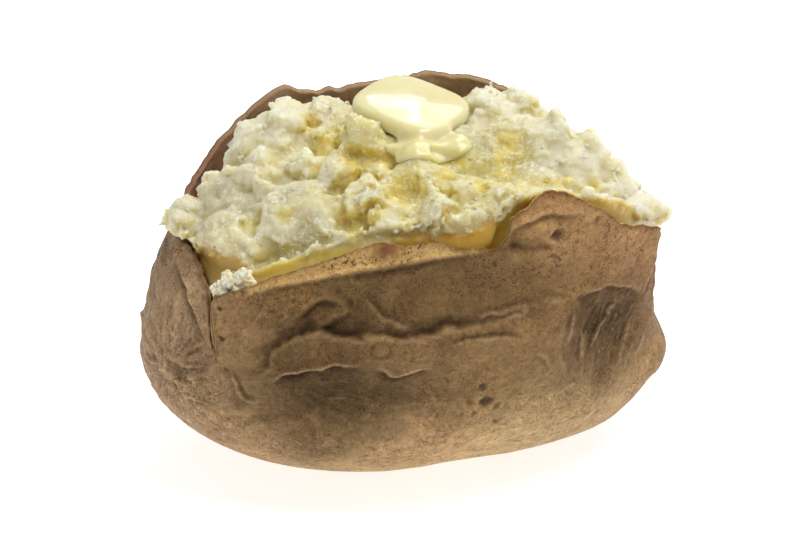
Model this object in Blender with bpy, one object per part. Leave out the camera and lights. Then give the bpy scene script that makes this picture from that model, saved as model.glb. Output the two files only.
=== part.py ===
"""Baked potato, slit open along its length, squeezed until the flesh heaps up, and topped with butter.

Metres, +Z up. The origin is the middle of the flat spot that the potato rests on, and +X runs along
the potato. Angles go round it counter-clockwise from above: 0 is the +X end, 90 the back, 180 the
-X end (the nose) and 270 the front.
"""

import math

import bpy
import numpy as np
from mathutils import Euler, Vector

MM = 0.001

# Driving dimensions: the closed belly of the potato, in metres.
HALF_LENGTH = 59.5 * MM
HALF_WIDTH_FRONT = 40.0 * MM
HALF_WIDTH_BACK = 42.0 * MM
FLAT_DEPTH = 1.2 * MM
SKIN = 1.5 * MM
GAP = 0.35 * MM
LIP_ROUNDING = 0.25 * MM

# The belly, all the way round: angle, how far out it reaches as a share of the ellipse, how quickly
# its underside tucks in (1 is a plain quarter ellipse, less is boxier), and its height in mm.
BELLY = (
    (0, 0.988, 0.76, 23.5),
    (40, 0.998, 0.92, 28.0),
    (90, 1.000, 1.00, 30.0),
    (140, 1.005, 1.02, 29.5),
    (180, 1.000, 1.02, 29.0),
    (220, 1.005, 1.02, 29.0),
    (255, 0.985, 1.13, 29.0),
    (285, 0.955, 1.16, 30.0),
    (315, 0.985, 0.90, 27.0),
    (340, 1.005, 0.65, 23.0),
)

# The open wall above the belly: angle, height in mm and how far in it leans up there.
WALL = (
    (0, 51.0, 0.960),
    (14, 55.0, 0.970),
    (30, 63.0, 0.910),
    (48, 71.0, 0.850),
    (62, 75.5, 0.820),
    (76, 77.5, 0.800),
    (91, 76.5, 0.820),
    (107, 73.5, 0.870),
    (122, 69.0, 0.940),
    (136, 62.0, 0.945),
    (152, 56.0, 0.915),
    (168, 54.5, 0.870),
    (182, 54.0, 0.830),
    (200, 54.5, 0.815),
    (217, 55.0, 0.815),
    (233, 60.0, 0.730),
    (248, 63.0, 0.650),
    (262, 64.5, 0.630),
    (276, 66.0, 0.670),
    (290, 68.5, 0.770),
    (300, 71.0, 0.835),
    (310, 70.0, 0.895),
    (320, 65.0, 0.950),
    (334, 57.5, 0.975),
    (347, 51.0, 0.955),
)

# The torn skin edge: angle, height in mm, how far in mm it stands off the flesh, and how many
# degrees it has been dragged round towards the nose or away from it.
EDGE = (
    (0, 48.0, 0.5, 0),
    (14, 54.0, 0.3, 0),
    (30, 62.5, 0.3, 0),
    (41, 70.0, 0.4, 0),
    (54, 76.0, 0.5, 0),
    (66, 77.8, 0.9, 0),
    (75, 78.0, 1.0, 0),
    (91, 76.1, 1.0, 0),
    (100, 74.8, 0.8, 0),
    (107, 74.4, 0.6, 0),
    (115, 76.6, 0.8, 0),
    (123, 71.2, 0.8, 0),
    (131, 66.0, 0.8, 0),
    (144, 57.5, 0.5, 0),
    (156, 52.5, 0.3, 0),
    (169, 55.8, 0.2, 0),
    (182, 55.6, 0.2, 0),
    (193, 55.0, 0.2, 0),
    (201, 53.8, 0.2, 0),
    (207, 52.0, 0.3, 0),
    (212, 49.0, 0.5, 0),
    (216, 45.2, 0.7, 0),
    (218.5, 42.0, 0.9, 0),
    (221, 43.6, 1.6, -4),
    (225, 52.4, 2.6, -13),
    (229, 55.8, 3.0, -14.5),
    (233, 57.8, 2.8, -15),
    (240, 60.4, 2.4, -13),
    (250, 62.6, 1.8, -7),
    (262, 64.0, 1.4, -3),
    (274, 64.4, 1.4, 0),
    (288, 63.4, 1.2, 0),
    (292, 65.5, 1.6, 0),
    (295, 70.2, 1.8, 0),
    (299, 72.4, 1.6, 0),
    (305, 75.2, 1.2, 0),
    (315, 69.7, 1.0, 0),
    (321, 64.7, 1.2, 0),
    (328, 62.0, 2.2, 0),
    (334.5, 59.4, 3.4, 0),
    (337, 54.5, 2.0, 1),
    (340, 43.0, 0.8, 0),
    (343, 41.0, 0.5, 0),
    (349, 45.5, 0.5, 0),
)

# Big folds of the collapsed front, each a line in (x, z) mm from left to right, how far it stands out
# in mm (in, if negative), and its half width in mm above and below the line.
FRONT_FOLDS = (
    ("hollow under the edge", ((-34, 46), (-12, 52.5), (14, 54), (32, 56)), -3.2, 5.5, 4.5),
    ("main ridge", ((-38, 33), (-28, 45), (-4, 45.5), (14, 46.5), (30, 46.5)), 1.4, 2.2, 4.5),
    ("hollow under the ridge", ((-32, 33), (-14, 34.5), (6, 34)), -3.6, 5.5, 8),
    ("hollow at the right", ((36, 43), (44, 39), (49, 31)), -4, 7, 9),
    ("dent below the nose edge", ((-40, 36), (-36, 26)), -2.2, 5, 5),
)
RIGHT_CORNER = (24.0 * MM, 3.0 * MM, 5.0 * MM)

# The heap of flesh: a broad dome and the lumps that stand out of it, as x, y, z and radius in mm.
HEAP_CENTRE = Vector((0.0, 3.0, 38.0)) * MM
SHOULDER_RISE = 3.5 * MM
LEAN, LEAN_TOP, LEAN_FRONT = 0.3, 0.6, 1.6
CLEAR_RISE = 1.0 * MM
SKIRT_SLOPE = 1.4
LUMPS = (
    (-25, 21, 63, 12.6), (-31, 17, 56.5, 10.5), (-33, 6, 52, 15), (-48.2, 4, 58.2, 4.6),
    (-37, -6, 53, 12), (-24, -4, 58, 12), (-27, 10, 61, 11), (-13, 22, 64, 13), (-12, 6, 63, 10),
    (-15, -10, 58, 11), (-3, -9, 60, 12), (6, 18, 61, 15), (4, -2, 65, 11), (1, 8, 64, 13),
    (12, 6, 64, 12.5), (13, -11, 60, 12), (14, 5, 64, 10), (24, 16, 66.3, 13.2), (33, 12, 60, 14),
    (28, 3, 63, 15), (27, -10, 61, 11), (36, -2, 61, 14), (38, 12, 57, 14), (44, -2, 60, 10),
    (47, 5, 51, 11), (50, -8, 56, 7.5), (55, -4, 56, 5.5), (54.2, -8, 58.6, 4.6),
    (-6, 6, 68.5, 8.5), (4, -3, 67, 9.5), (14, -2, 68, 8), (19, 6, 69, 8),
)

# The pat of butter, lying on the heap and tipped towards the front.
BUTTER_SIZE = Vector((24.6, 21.0, 4.8)) * MM
BUTTER_PLACE = Vector((5.0, 14.0, 78.4)) * MM
BUTTER_SPIN = math.radians(-46)
BUTTER_TILT = Euler((math.radians(6), math.radians(2), 0))
BUTTER_CORNER_POWER = 3.4

# A crumb of flesh caught on the front flap's torn corner.
CRUMB_PLACE = Vector((-40.0, -19.6, 54.9)) * MM
CRUMB_HALF = Vector((4.6, 1.9, 2.7)) * MM

LOWER_ROWS = 9
UPPER_ROWS = 9
HEAP_ROWS = 15
PLAIN_COLUMNS = 56
EXTRA_ANGLES = (214.5, 217.5, 219.8, 222.5, 226.5, 290.5, 293.5, 296.5, 336.2, 339.5)

COLOURS = {
    "skin": ((0.28, 0.17, 0.08, 1), 0.75),
    "flesh": ((0.72, 0.64, 0.38, 1), 0.6),
    "butter": ((0.87, 0.77, 0.38, 1), 0.25),
    "flap_crumb": ((0.78, 0.72, 0.48, 1), 0.6),
}


def smoothstep(low, high, value):
    share = np.clip((value - low) / (high - low), 0, 1)
    return share * share * (3 - 2 * share)


def around(table, column, angles):
    """A column of a table at any angles, by a cubic through its points that closes on itself."""
    known = np.array([row[0] for row in table], float)
    values = np.array([row[column] for row in table], float)
    known = np.concatenate([known[-2:] - 360, known, known[:3] + 360])
    values = np.concatenate([values[-2:], values, values[:3]])
    angles = np.asarray(angles, float) % 360
    i = np.clip(np.searchsorted(known, angles, side="right") - 1, 1, len(known) - 3)
    width = known[i + 1] - known[i]
    share = (angles - known[i]) / width
    slope_in = (values[i + 1] - values[i - 1]) / (known[i + 1] - known[i - 1]) * width
    slope_out = (values[i + 2] - values[i]) / (known[i + 2] - known[i]) * width
    rise = values[i + 1] - values[i]
    # Slopes are kept from overshooting, so that a torn corner stays a corner.
    slope_in = np.clip(slope_in, -3 * abs(rise), 3 * abs(rise))
    slope_out = np.clip(slope_out, -3 * abs(rise), 3 * abs(rise))
    s2, s3 = share**2, share**3
    return (
        (2 * s3 - 3 * s2 + 1) * values[i]
        + (s3 - 2 * s2 + share) * slope_in
        + (3 * s2 - 2 * s3) * values[i + 1]
        + (s3 - s2) * slope_out
    )


def columns():
    """Angles of the meridians: even ones, and closer ones at the torn corners."""
    even = np.linspace(0, 360, PLAIN_COLUMNS, endpoint=False)
    every = np.unique(np.concatenate([even, EXTRA_ANGLES]))
    return every[np.concatenate([np.diff(every), [10]]) > 1.2]


def belly(angles):
    """The belly line in plan: the front half is a little narrower than the back."""
    cosine, sine = np.cos(np.radians(angles)), np.sin(np.radians(angles))
    width = HALF_WIDTH_FRONT + (HALF_WIDTH_BACK - HALF_WIDTH_FRONT) * smoothstep(-1, 1, sine)
    reach = around(BELLY, 1, angles)
    return HALF_LENGTH * cosine * reach, width * sine * reach


def belly_height(angles):
    return around(BELLY, 3, angles) * MM


def body(angles, level):
    """The smooth body: level 0 is the middle of the bottom, 1 the belly line, 2 the WALL height."""
    under, over = np.clip(level, 0, 1), np.maximum(level - 1, 0)
    turn = math.radians(90) * under
    reach = np.sin(turn) ** around(BELLY, 2, angles) * (1 - (1 - around(WALL, 2, angles)) * over**2)
    x, y = belly(angles)
    foot = belly_height(angles)
    z = np.maximum(0, (foot + FLAT_DEPTH) * (1 - np.cos(turn)) - FLAT_DEPTH)
    z = z + (around(WALL, 1, angles) * MM - foot) * over
    return np.stack([x * reach, y * reach, z], axis=-1)


def body_normals(angles, level):
    """Outward normals of the smooth body."""
    round_it = body(angles + 0.5, level) - body(angles - 0.5, level)
    up_it = body(angles, level + 0.01) - body(angles, level - 0.01)
    normal = np.cross(round_it, up_it)
    return normal / np.linalg.norm(normal, axis=-1, keepdims=True)


def edge_share(angles):
    """Where the torn skin edge is, as a share of the wall's height above the belly line."""
    foot = belly_height(angles)
    return (around(EDGE, 1, angles) * MM - foot) / (around(WALL, 1, angles) * MM - foot)


def from_line(x, z, line):
    """Signed distance of points above a line in (x, z), and how far along it they are, 0 to 1."""
    best = np.full(x.shape, np.inf)
    signed, along = np.zeros(x.shape), np.zeros(x.shape)
    ends = [np.array(point, float) * MM for point in line]
    lengths = [np.linalg.norm(b - a) for a, b in zip(ends, ends[1:])]
    done = 0.0
    for a, b, length in zip(ends, ends[1:], lengths):
        step = (b - a) / length
        across = np.array([-step[1], step[0]])
        t = np.clip((x - a[0]) * step[0] + (z - a[1]) * step[1], 0, length)
        gap_x, gap_z = x - a[0] - t * step[0], z - a[1] - t * step[1]
        distance = np.hypot(gap_x, gap_z)
        nearer = distance < best
        side = np.sign(gap_x * across[0] + gap_z * across[1])
        best = np.where(nearer, distance, best)
        signed = np.where(nearer, distance * side, signed)
        along = np.where(nearer, (done + t) / sum(lengths), along)
        done += length
    return signed, along


def fold_push(points):
    """How far outwards the big folds move each point of the belly's wall."""
    x, y, z = points[..., 0], points[..., 1], points[..., 2]
    facing = smoothstep(4 * MM, -16 * MM, y)
    push = np.zeros(x.shape)
    for _, line, height, above, below in FRONT_FOLDS:
        signed, along = from_line(x, z, line)
        width = np.where(signed > 0, above, below) * MM
        ends = smoothstep(0, 0.16, along) * smoothstep(1, 0.84, along)
        push += height * MM * np.exp(-((signed / width) ** 2)) * (0.3 + 0.7 * ends) * facing
    corner_z, corner_out, corner_width = RIGHT_CORNER
    at_end = smoothstep(48 * MM, 58 * MM, x)
    return push + corner_out * np.exp(-(((z - corner_z) / corner_width) ** 2)) * at_end


def wall_grid(angles, top_share, stand_off, dragged):
    """Rings of the folded wall, from under the belly up to top_share of its height, and normals."""
    lower = np.arange(1, LOWER_ROWS + 1)[:, None] / LOWER_ROWS
    upper = np.arange(1, UPPER_ROWS + 1)[:, None] / UPPER_ROWS
    level = np.concatenate([lower + 0 * angles, 1 + upper * top_share])
    share = np.concatenate([0 * lower, upper]) + 0 * angles
    turned = angles + dragged * np.maximum(level - 1, 0)
    rings, normals = body(turned, level), body_normals(turned, level)
    push = fold_push(rings) + stand_off * share**3
    return rings + normals * push[..., None], normals, share


def add_solid(name, first_pole, rings, last_pole):
    """One closed body from a pole, a stack of rings and the other pole, with its own material."""
    count = len(rings[0])
    points = [first_pole] + [point for ring in rings for point in ring] + [last_pole]
    faces = []
    for k in range(count):
        after = (k + 1) % count
        faces.append((0, 1 + after, 1 + k))
        for row in range(len(rings) - 1):
            low, high = 1 + row * count, 1 + (row + 1) * count
            faces.append((low + k, low + after, high + after, high + k))
        last = 1 + (len(rings) - 1) * count
        faces.append((last + k, last + after, len(points) - 1))
    mesh = bpy.data.meshes.new(name)
    mesh.from_pydata([tuple(map(float, point)) for point in points], [], faces)
    mesh.validate()
    colour, roughness = COLOURS[name]
    material = bpy.data.materials.new(name)
    material.use_nodes = True
    shader = material.node_tree.nodes["Principled BSDF"]
    shader.inputs["Base Color"].default_value = colour
    shader.inputs["Roughness"].default_value = roughness
    mesh.materials.append(material)
    mesh.shade_smooth()
    solid = bpy.data.objects.new(name, mesh)
    bpy.context.scene.collection.objects.link(solid)
    return solid


def add_skin(angles):
    """The leathery skin: a bowl round the flesh with a torn, uneven edge."""
    stand_off, dragged = around(EDGE, 2, angles) * MM, around(EDGE, 3, angles)
    outer, normals, _ = wall_grid(angles, edge_share(angles), stand_off, dragged)
    inner = outer - normals * SKIN
    inner[0, :, 2] = np.maximum(inner[0, :, 2], SKIN)
    middle = (outer - normals * SKIN / 2)[-1]
    middle[:, 2] += LIP_ROUNDING
    rings = list(outer) + [middle] + list(inner[::-1])
    return add_solid("skin", (0, 0, 0), rings, (0, 0, SKIN))


def shoulder_share(angles):
    """Where the flesh's plain side ends and the heap starts, as a share of upper_body's height."""
    foot = belly_height(angles)
    full = around(WALL, 1, angles) * MM - foot
    at_front = smoothstep(0.2, -0.4, np.sin(np.radians(angles)))
    return (full + SHOULDER_RISE * (2 * at_front - 1)) / full


def ball_reach(directions, centre, radius):
    """Distance from HEAP_CENTRE, along each direction, to the far side of a ball and its skirt."""
    offset = np.array(centre) - np.array(HEAP_CENTRE)
    along = directions @ offset
    miss = np.sqrt(np.maximum(offset @ offset - along**2, 0))
    far_side = along + np.sqrt(np.maximum(radius**2 - miss**2, 0))
    return far_side - SKIRT_SLOPE * np.maximum(miss - radius, 0)


def heap_reach(directions):
    """Distance from HEAP_CENTRE to the outside of the lumps, along each direction."""
    reach = np.zeros(directions.shape[:-1])
    for x, y, z, radius in LUMPS:
        reach = np.maximum(reach, ball_reach(directions, np.array((x, y, z)) * MM, radius * MM))
    return reach


def butter_frame():
    """The butter's own axes as rows, and the height of its underside along its upward axis."""
    axes = np.array(BUTTER_TILT.to_matrix()).T
    underside = np.array(BUTTER_PLACE) @ axes[2] - BUTTER_SIZE.z / 2
    return axes, underside


def under_butter(points):
    """Presses the heap down to a flat seat below the pat, and leaves the rest as it is."""
    axes, underside = butter_frame()
    offset = points - np.array(BUTTER_PLACE)
    reach = np.hypot(offset @ axes[0] / (BUTTER_SIZE.x / 2), offset @ axes[1] / (BUTTER_SIZE.y / 2))
    seat = underside - 2 * GAP
    above = points @ axes[2] - seat
    share = smoothstep(1.5, 1.25, reach)
    sunk = np.where(above > 0, above, above * 0.85) * share
    return points - sunk[..., None] * axes[2]


def add_flesh(angles):
    """The flesh: it fills the skin, its sides are plain, and its top is a heap of lumps."""
    wall, normals, share = wall_grid(angles, shoulder_share(angles), 0 * angles, 0 * angles)
    at_front = smoothstep(0.0, -0.5, np.sin(np.radians(angles)))
    lean = (LEAN + (LEAN_TOP + LEAN_FRONT * at_front) * smoothstep(-0.2, 1.0, share)) * MM
    wall = wall - normals * (SKIN + GAP + lean)[..., None]
    wall[0, :, 2] = np.maximum(wall[0, :, 2], SKIN + GAP)
    centre = np.array(HEAP_CENTRE)
    shoulder = wall[-1] - centre
    distance = np.linalg.norm(shoulder, axis=-1, keepdims=True)
    side = np.hypot(shoulder[:, 0:1], shoulder[:, 1:2])
    clear_z = around(EDGE, 1, angles)[:, None] * MM + CLEAR_RISE
    start = shoulder / distance
    straight_up = np.array((0.0, 0.0, 1.0))
    turn = np.arccos(np.clip(start[:, 2:3], -1, 1))
    heap = []
    for row in range(1, HEAP_ROWS):
        share = row / HEAP_ROWS
        direction = (
            np.sin((1 - share) * turn) * start + np.sin(share * turn) * straight_up
        ) / np.sin(turn)
        reach = np.maximum(heap_reach(direction)[:, None], 20 * MM)
        blend = smoothstep(0, 0.14, share)
        reach = distance * (1 - blend) + reach * blend
        # Lumps hang outwards only where they are above the torn edge.
        height = centre[2] + direction[:, 2:3] * reach
        out = np.hypot(direction[:, 0:1], direction[:, 1:2])
        below = np.clip(height - wall[-1][:, 2:3], 0, np.maximum(clear_z - wall[-1][:, 2:3], 0))
        room = side - 0.6 * below + 1.3 * np.maximum(0, height - clear_z)
        reach = np.minimum(reach, room / out)
        heap.append(under_butter(centre + direction * reach))
    pole = centre + straight_up * heap_reach(straight_up[None])[0]
    pole = under_butter(pole[None])[0]
    return add_solid("flesh", (0, 0, SKIN + GAP), list(wall) + heap, pole)


def add_butter():
    """A half-melted pat: a slab with round corners, a flat underside and a sagging, domed top."""
    sides, half = 28, BUTTER_SIZE / 2
    turns = np.radians(np.linspace(0, 360, sides, endpoint=False))
    cos_spin, sin_spin = math.cos(BUTTER_SPIN), math.sin(BUTTER_SPIN)

    def ring(scale, height):
        cosine, sine = np.cos(turns), np.sin(turns)
        power = 2 / BUTTER_CORNER_POWER
        x = np.sign(cosine) * abs(cosine) ** power * half.x * scale
        y = np.sign(sine) * abs(sine) ** power * half.y * scale
        x, y = x * cos_spin - y * sin_spin, x * sin_spin + y * cos_spin
        droop = 1 - 0.22 * smoothstep(0, -half.y, y)
        return np.stack([x, y, -half.z + (height + half.z) * droop], axis=-1)

    profile = (
        (0.5, -1.0), (0.86, -1.0), (0.97, -0.72), (1.0, -0.2), (0.97, 0.32),
        (0.90, 0.62), (0.78, 0.80), (0.60, 0.92), (0.36, 0.985),
    )
    rings = [ring(scale, height * half.z) for scale, height in profile]
    butter = add_solid("butter", (0, 0, -half.z), rings, (0, 0, half.z))
    butter.location = BUTTER_PLACE
    butter.rotation_euler = BUTTER_TILT
    return butter


def add_crumb():
    """A rough crumb on the torn corner of the front flap."""
    sides, rows = 12, 6
    rings = []
    for row in range(1, rows):
        up = math.pi * row / rows
        turns = np.radians(np.linspace(0, 360, sides, endpoint=False))
        lumpy = 1 + 0.10 * np.sin(3 * turns + 2 * row) + 0.06 * np.cos(5 * turns - row)
        x = CRUMB_HALF.x * math.sin(up) * np.cos(turns) * lumpy
        y = CRUMB_HALF.y * math.sin(up) * np.sin(turns) * lumpy
        rings.append(np.stack([x, y, np.full(sides, -CRUMB_HALF.z * math.cos(up))], axis=-1))
    crumb = add_solid("flap_crumb", (0, 0, -CRUMB_HALF.z), rings, (0, 0, CRUMB_HALF.z))
    crumb.location = CRUMB_PLACE
    crumb.rotation_euler = (0, math.radians(-28), math.radians(-14))
    return crumb


def main():
    for thing in list(bpy.data.objects):
        bpy.data.objects.remove(thing)
    angles = columns()
    add_skin(angles)
    add_flesh(angles)
    add_butter()
    add_crumb()


main()
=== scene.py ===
"""Looks of the baked potato: wrinkled torn skin, a mealy heap of flesh and a melting pat of butter.

All shapes are worked out in millimetres, in the frame of the CAD part, and become metres when a
mesh is made. Angles go round the potato from +X, and the front is 180 to 360 degrees.
"""

import math
from itertools import product

import bpy
import numpy as np
from mathutils import Euler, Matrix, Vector


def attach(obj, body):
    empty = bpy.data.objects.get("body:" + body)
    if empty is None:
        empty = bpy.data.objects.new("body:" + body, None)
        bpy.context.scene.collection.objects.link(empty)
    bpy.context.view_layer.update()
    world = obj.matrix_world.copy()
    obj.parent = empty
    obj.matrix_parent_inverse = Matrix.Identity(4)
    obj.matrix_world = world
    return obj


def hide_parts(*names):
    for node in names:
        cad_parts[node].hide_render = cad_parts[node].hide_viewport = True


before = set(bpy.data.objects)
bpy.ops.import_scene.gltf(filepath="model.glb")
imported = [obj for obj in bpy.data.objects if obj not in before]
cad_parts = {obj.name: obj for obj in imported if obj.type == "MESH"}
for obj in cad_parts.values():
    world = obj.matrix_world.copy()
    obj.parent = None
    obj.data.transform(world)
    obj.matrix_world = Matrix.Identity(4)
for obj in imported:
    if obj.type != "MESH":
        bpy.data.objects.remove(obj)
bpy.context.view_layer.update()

# The body's law, as in the CAD part, in mm.
HALF_LENGTH = 59.5
HALF_WIDTH_FRONT = 40.0
HALF_WIDTH_BACK = 42.0
FLAT_DEPTH = 1.2
SKIN = 1.5
GAP = 0.35

# The belly line by angle: reach, roundness of the underside, height.
BELLY = (
    (0, 0.988, 0.76, 23.5), (40, 0.998, 0.92, 28.0), (90, 1.0, 1.0, 30.0),
    (140, 1.005, 1.02, 29.5), (180, 1.0, 1.02, 29.0), (220, 1.005, 1.02, 29.0),
    (255, 0.985, 1.13, 29.0), (285, 0.955, 1.16, 30.0), (315, 0.985, 0.9, 27.0),
    (340, 1.005, 0.65, 23.0),
)
# The wall above it: angle, height of its top, how much of the reach is left there.
WALL = (
    (0, 51.0, 0.96), (14, 55.0, 0.97), (30, 63.0, 0.91), (48, 71.0, 0.85), (62, 75.5, 0.82),
    (76, 77.5, 0.8), (91, 76.5, 0.82), (107, 73.5, 0.87), (122, 69.0, 0.94),
    (136, 62.0, 0.945), (152, 56.0, 0.915), (168, 54.5, 0.87), (182, 54.0, 0.83),
    (200, 54.5, 0.815), (217, 55.0, 0.815), (233, 60.0, 0.73), (248, 63.0, 0.65),
    (262, 64.5, 0.63), (276, 66.0, 0.67), (290, 68.5, 0.77), (300, 71.0, 0.835),
    (310, 70.0, 0.895), (320, 65.0, 0.95), (334, 57.5, 0.975), (347, 51.0, 0.955),
)
# The torn edge: angle, height, how far it stands off the body, how far it is dragged round.
EDGE = (
    (0, 48.0, 0.5, 0), (14, 54.0, 0.3, 0), (30, 62.5, 0.3, 0), (41, 70.0, 0.4, 0),
    (54, 76.0, 0.5, 0), (66, 77.8, 0.9, 0), (75, 78.0, 1.0, 0), (91, 76.1, 1.0, 0),
    (100, 74.8, 0.8, 0), (107, 74.4, 0.6, 0), (115, 76.6, 0.8, 0), (123, 71.2, 0.8, 0),
    (131, 66.0, 0.8, 0), (144, 57.5, 0.5, 0), (156, 52.5, 0.3, 0), (169, 55.8, 0.2, 0),
    (182, 55.6, 0.2, 0), (193, 55.0, 0.2, 0), (201, 53.8, 0.2, 0), (207, 52.0, 0.3, 0),
    (212, 49.0, 0.5, 0), (216, 45.2, 0.7, 0), (218.5, 42.0, 0.9, 0), (221, 43.6, 1.6, -4),
    (225, 52.4, 2.6, -13), (229, 55.8, 3.0, -14.5), (233, 57.8, 2.8, -15), (240, 60.4, 2.4, -13),
    (250, 62.6, 1.8, -7), (262, 64.0, 1.4, -3), (274, 64.4, 1.4, 0),
    (288, 63.4, 1.2, 0), (292, 65.5, 1.6, 0), (295, 70.2, 1.8, 0), (299, 72.4, 1.6, 0),
    (305, 75.2, 1.2, 0), (315, 69.7, 1.0, 0), (321, 64.7, 1.2, 0), (328, 62.0, 2.2, 0),
    (334.5, 59.4, 3.4, 0), (337, 54.5, 2.0, 1), (340, 43.0, 0.8, 0), (343, 41.0, 0.5, 0),
    (349, 45.5, 0.5, 0),
)
# Lines in (x, z), height out of the wall, half width above and below the line.
BIG_FOLDS = (
    (((-34, 46), (-12, 52.5), (14, 54), (32, 56)), -3.2, 5.5, 4.5),
    (((-38, 33), (-28, 45), (-4, 45.5), (14, 46.5), (30, 46.5)), 1.4, 2.2, 4.5),
    (((-32, 33), (-14, 34.5), (6, 34)), -3.6, 5.5, 8.0),
    (((36, 43), (44, 39), (49, 31)), -4.0, 7.0, 9.0),
    (((-40, 36), (-36, 26)), -2.2, 5.0, 5.0),
)
# Height, reach and half width of the corner at the lower right.
RIGHT_CORNER = (24.0, 3.0, 5.0)

# Creases of the front: line in (x, z), height, half width above, half width below, sharpness of the
# crest (2 is round, 1 a knife edge), how far its crest is painted pale, partly as rubbed dry skin and
# partly as painted light, and how deep and how far the skin drops away on its steep side, which is the
# narrower one and gets a painted shadow.
CREASES = (
    # The lip that leans back over the opening.
    (((-41, 53.2), (-31, 57), (-22, 58.6), (-9, 60.3), (3, 62.1), (16, 64)),
     0.8, 2.6, 0.7, 1.1, 0.4, 0.5, 1.4),
    # The long ridge under the hollow, rising from the left.
    (((-40, 33.5), (-37.4, 36.4), (-34.5, 39.4), (-33, 42.4), (-31, 44.4), (-27.5, 46.2),
      (-23, 46.6), (-18.7, 46.6), (-11, 47.1), (-2, 47), (9, 48.2), (18.5, 48.3), (26.2, 47.8)),
     0.7, 0.5, 5.0, 1.1, 0.5, 1.4, 2.4),
    (((3, 45.2), (12.2, 46), (18.3, 45), (21, 43.4)), 0.5, 0.5, 3.0, 1.2, 0.7, 0.8, 1.3),
    (((9, 49), (19, 50.2), (25.7, 50.6)), 0.4, 0.4, 1.2, 1.0, 0.7, 0.3, 1.2),
    # The thin crest over the lower hollow, and its neighbour.
    (((-33.9, 35.4), (-33.3, 37.6), (-31.2, 39.4), (-27.5, 40), (-22.7, 41), (-20.3, 42),
      (-16.8, 42.1), (-13.4, 43)), 0.6, 2.6, 0.4, 1.0, 1.0, 1.1, 2.4),
    (((-12, 41.6), (-9.5, 39.6), (-7.8, 38.2), (-5.6, 38.8), (-2.2, 39.9), (1.5, 40.2)),
     0.5, 1.6, 0.4, 1.1, 0.9, 0.9, 2.2),
    (((-42.3, 38.9), (-41.7, 35.6), (-40.8, 32.3), (-38.8, 30.7), (-35.6, 30.4)),
     0.5, 0.5, 0.8, 1.0, 0.8, 0.4, 1.2),
    # Slanting folds in the hollow under the lip.
    (((-19.9, 58), (-18.4, 55.6), (-16, 53.3), (-14, 50)), -0.8, 0.7, 1.6, 1.2, 0, 0, 1),
    (((-13.5, 54.6), (-12.2, 53), (-9.8, 49.9), (-6.5, 48.9), (-1.8, 47.7)),
     0.5, 0.45, 2.5, 1.1, 0.45, 0.7, 2.0),
    (((-29, 49.4), (-26.9, 50.8), (-22.2, 54), (-19.1, 53.8), (-16, 52.4)),
     0.5, 3.0, 1.0, 1.4, 0.2, 1.1, 2.0),
    (((-24.5, 46.8), (-20.4, 49), (-16.4, 51), (-14.5, 51)), 0.7, 1.2, 1.0, 1.4, 0.2, 0.6, 1.6),
    # The nose: the folded strip along its torn edge, and the creases beside it.
    (((-51, 54.5), (-50.5, 52.5), (-49, 50.5), (-47.5, 46.6), (-45.5, 42)),
     0.7, 2.0, 0.5, 1.1, 0.3, 0.9, 2.0),
    (((-44, 41), (-42.5, 37), (-41, 33), (-38.5, 28)), -1.2, 1.8, 1.8, 1.6, 0, 0, 1),
    (((-60, 28), (-58.1, 32.7), (-56, 34.5)), -0.6, 0.6, 0.8, 1.1, 0, 0, 1),
    (((-40, 24), (-37, 25.4), (-34, 26.6)), 0.35, 0.4, 0.8, 1.0, 0.7, 0, 1),
    (((6, 34), (8, 29.7), (11, 25.7)), 0.5, 0.8, 0.9, 1.3, 0.2, 0.4, 1.4),
    # The dent left of the peak, its rim, its shadow and the crease beside its eye.
    (((15, 62.6), (17.2, 65.7), (18.6, 67.9), (22.1, 69.7), (26.6, 71), (32.1, 70.2), (36.8, 69.2)),
     0.6, 1.8, 0.5, 1.1, 0.6, 0.7, 1.6),
    (((14, 63), (19.3, 64.1), (26.4, 62.9), (29.1, 63)), -1.1, 2.2, 0.8, 1.5, 0, 0, 1),
    (((29.5, 63.2), (31.8, 64.5), (32.7, 66)), 0.5, 0.5, 0.9, 1.0, 0.5, 0.3, 1.2),
    # The folds that end the front at the right.
    (((25, 50.6), (28.7, 51), (31.8, 49.6)), 0.4, 0.5, 1.2, 1.0, 0.6, 0.3, 1.0),
    (((31.6, 48.6), (33.8, 51), (36.2, 50.8), (39.9, 51), (42.2, 50.4), (46, 49), (49.2, 46.8),
      (52, 43.5)), 0.6, 3.0, 0.7, 1.1, 0.6, 0.8, 2.6),
    (((31.5, 47), (30.2, 43), (29.8, 37), (31, 31)), 0.25, 1.2, 2.5, 1.4, 0.3, 0.2, 2.4),
    (((14.5, 48.3), (19, 49.1), (23, 49.9)), 0.4, 0.4, 0.9, 1.0, 0.9, 0.3, 1.0),
    # The flap's right end, curled away from the body behind it.
    (((54.2, 55), (54.7, 52), (53.3, 49.5), (52.3, 47.7), (51.7, 45), (52.5, 42)),
     0.5, 0.5, 1.6, 1.0, 0.9, 0.9, 2.2),
    (((23.8, 40.3), (26, 38), (28.1, 35.5)), 0.35, 0.5, 0.5, 1.1, 0.4, 0.3, 1.0),
    (((28.3, 27.9), (30.7, 29.2), (34.1, 29.5)), 0.35, 0.4, 0.6, 1.0, 0.8, 0, 1),
    (((32, 39), (32.6, 43), (33.4, 47)), 0.5, 0.4, 0.6, 1.0, 0.9, 0.3, 1.2),
    (((35, 33), (36, 40.5)), 0.45, 0.4, 0.6, 1.0, 0.8, 0.3, 1.2),
    (((38, 35), (41, 38.8), (43.5, 41)), 0.6, 0.4, 0.7, 1.0, 0.9, 0.3, 1.2),
    (((44, 39.5), (43, 43), (45, 45.2)), 0.45, 0.4, 0.6, 1.0, 0.8, 0.3, 1.2),
    (((44, 27.5), (47.5, 33), (49.5, 37.4)), 0.6, 0.4, 0.7, 1.0, 0.9, 0.3, 1.2),
    (((50, 28.5), (53.4, 32.6)), 0.5, 0.4, 0.6, 1.0, 0.9, 0.3, 1.2),
)
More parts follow.
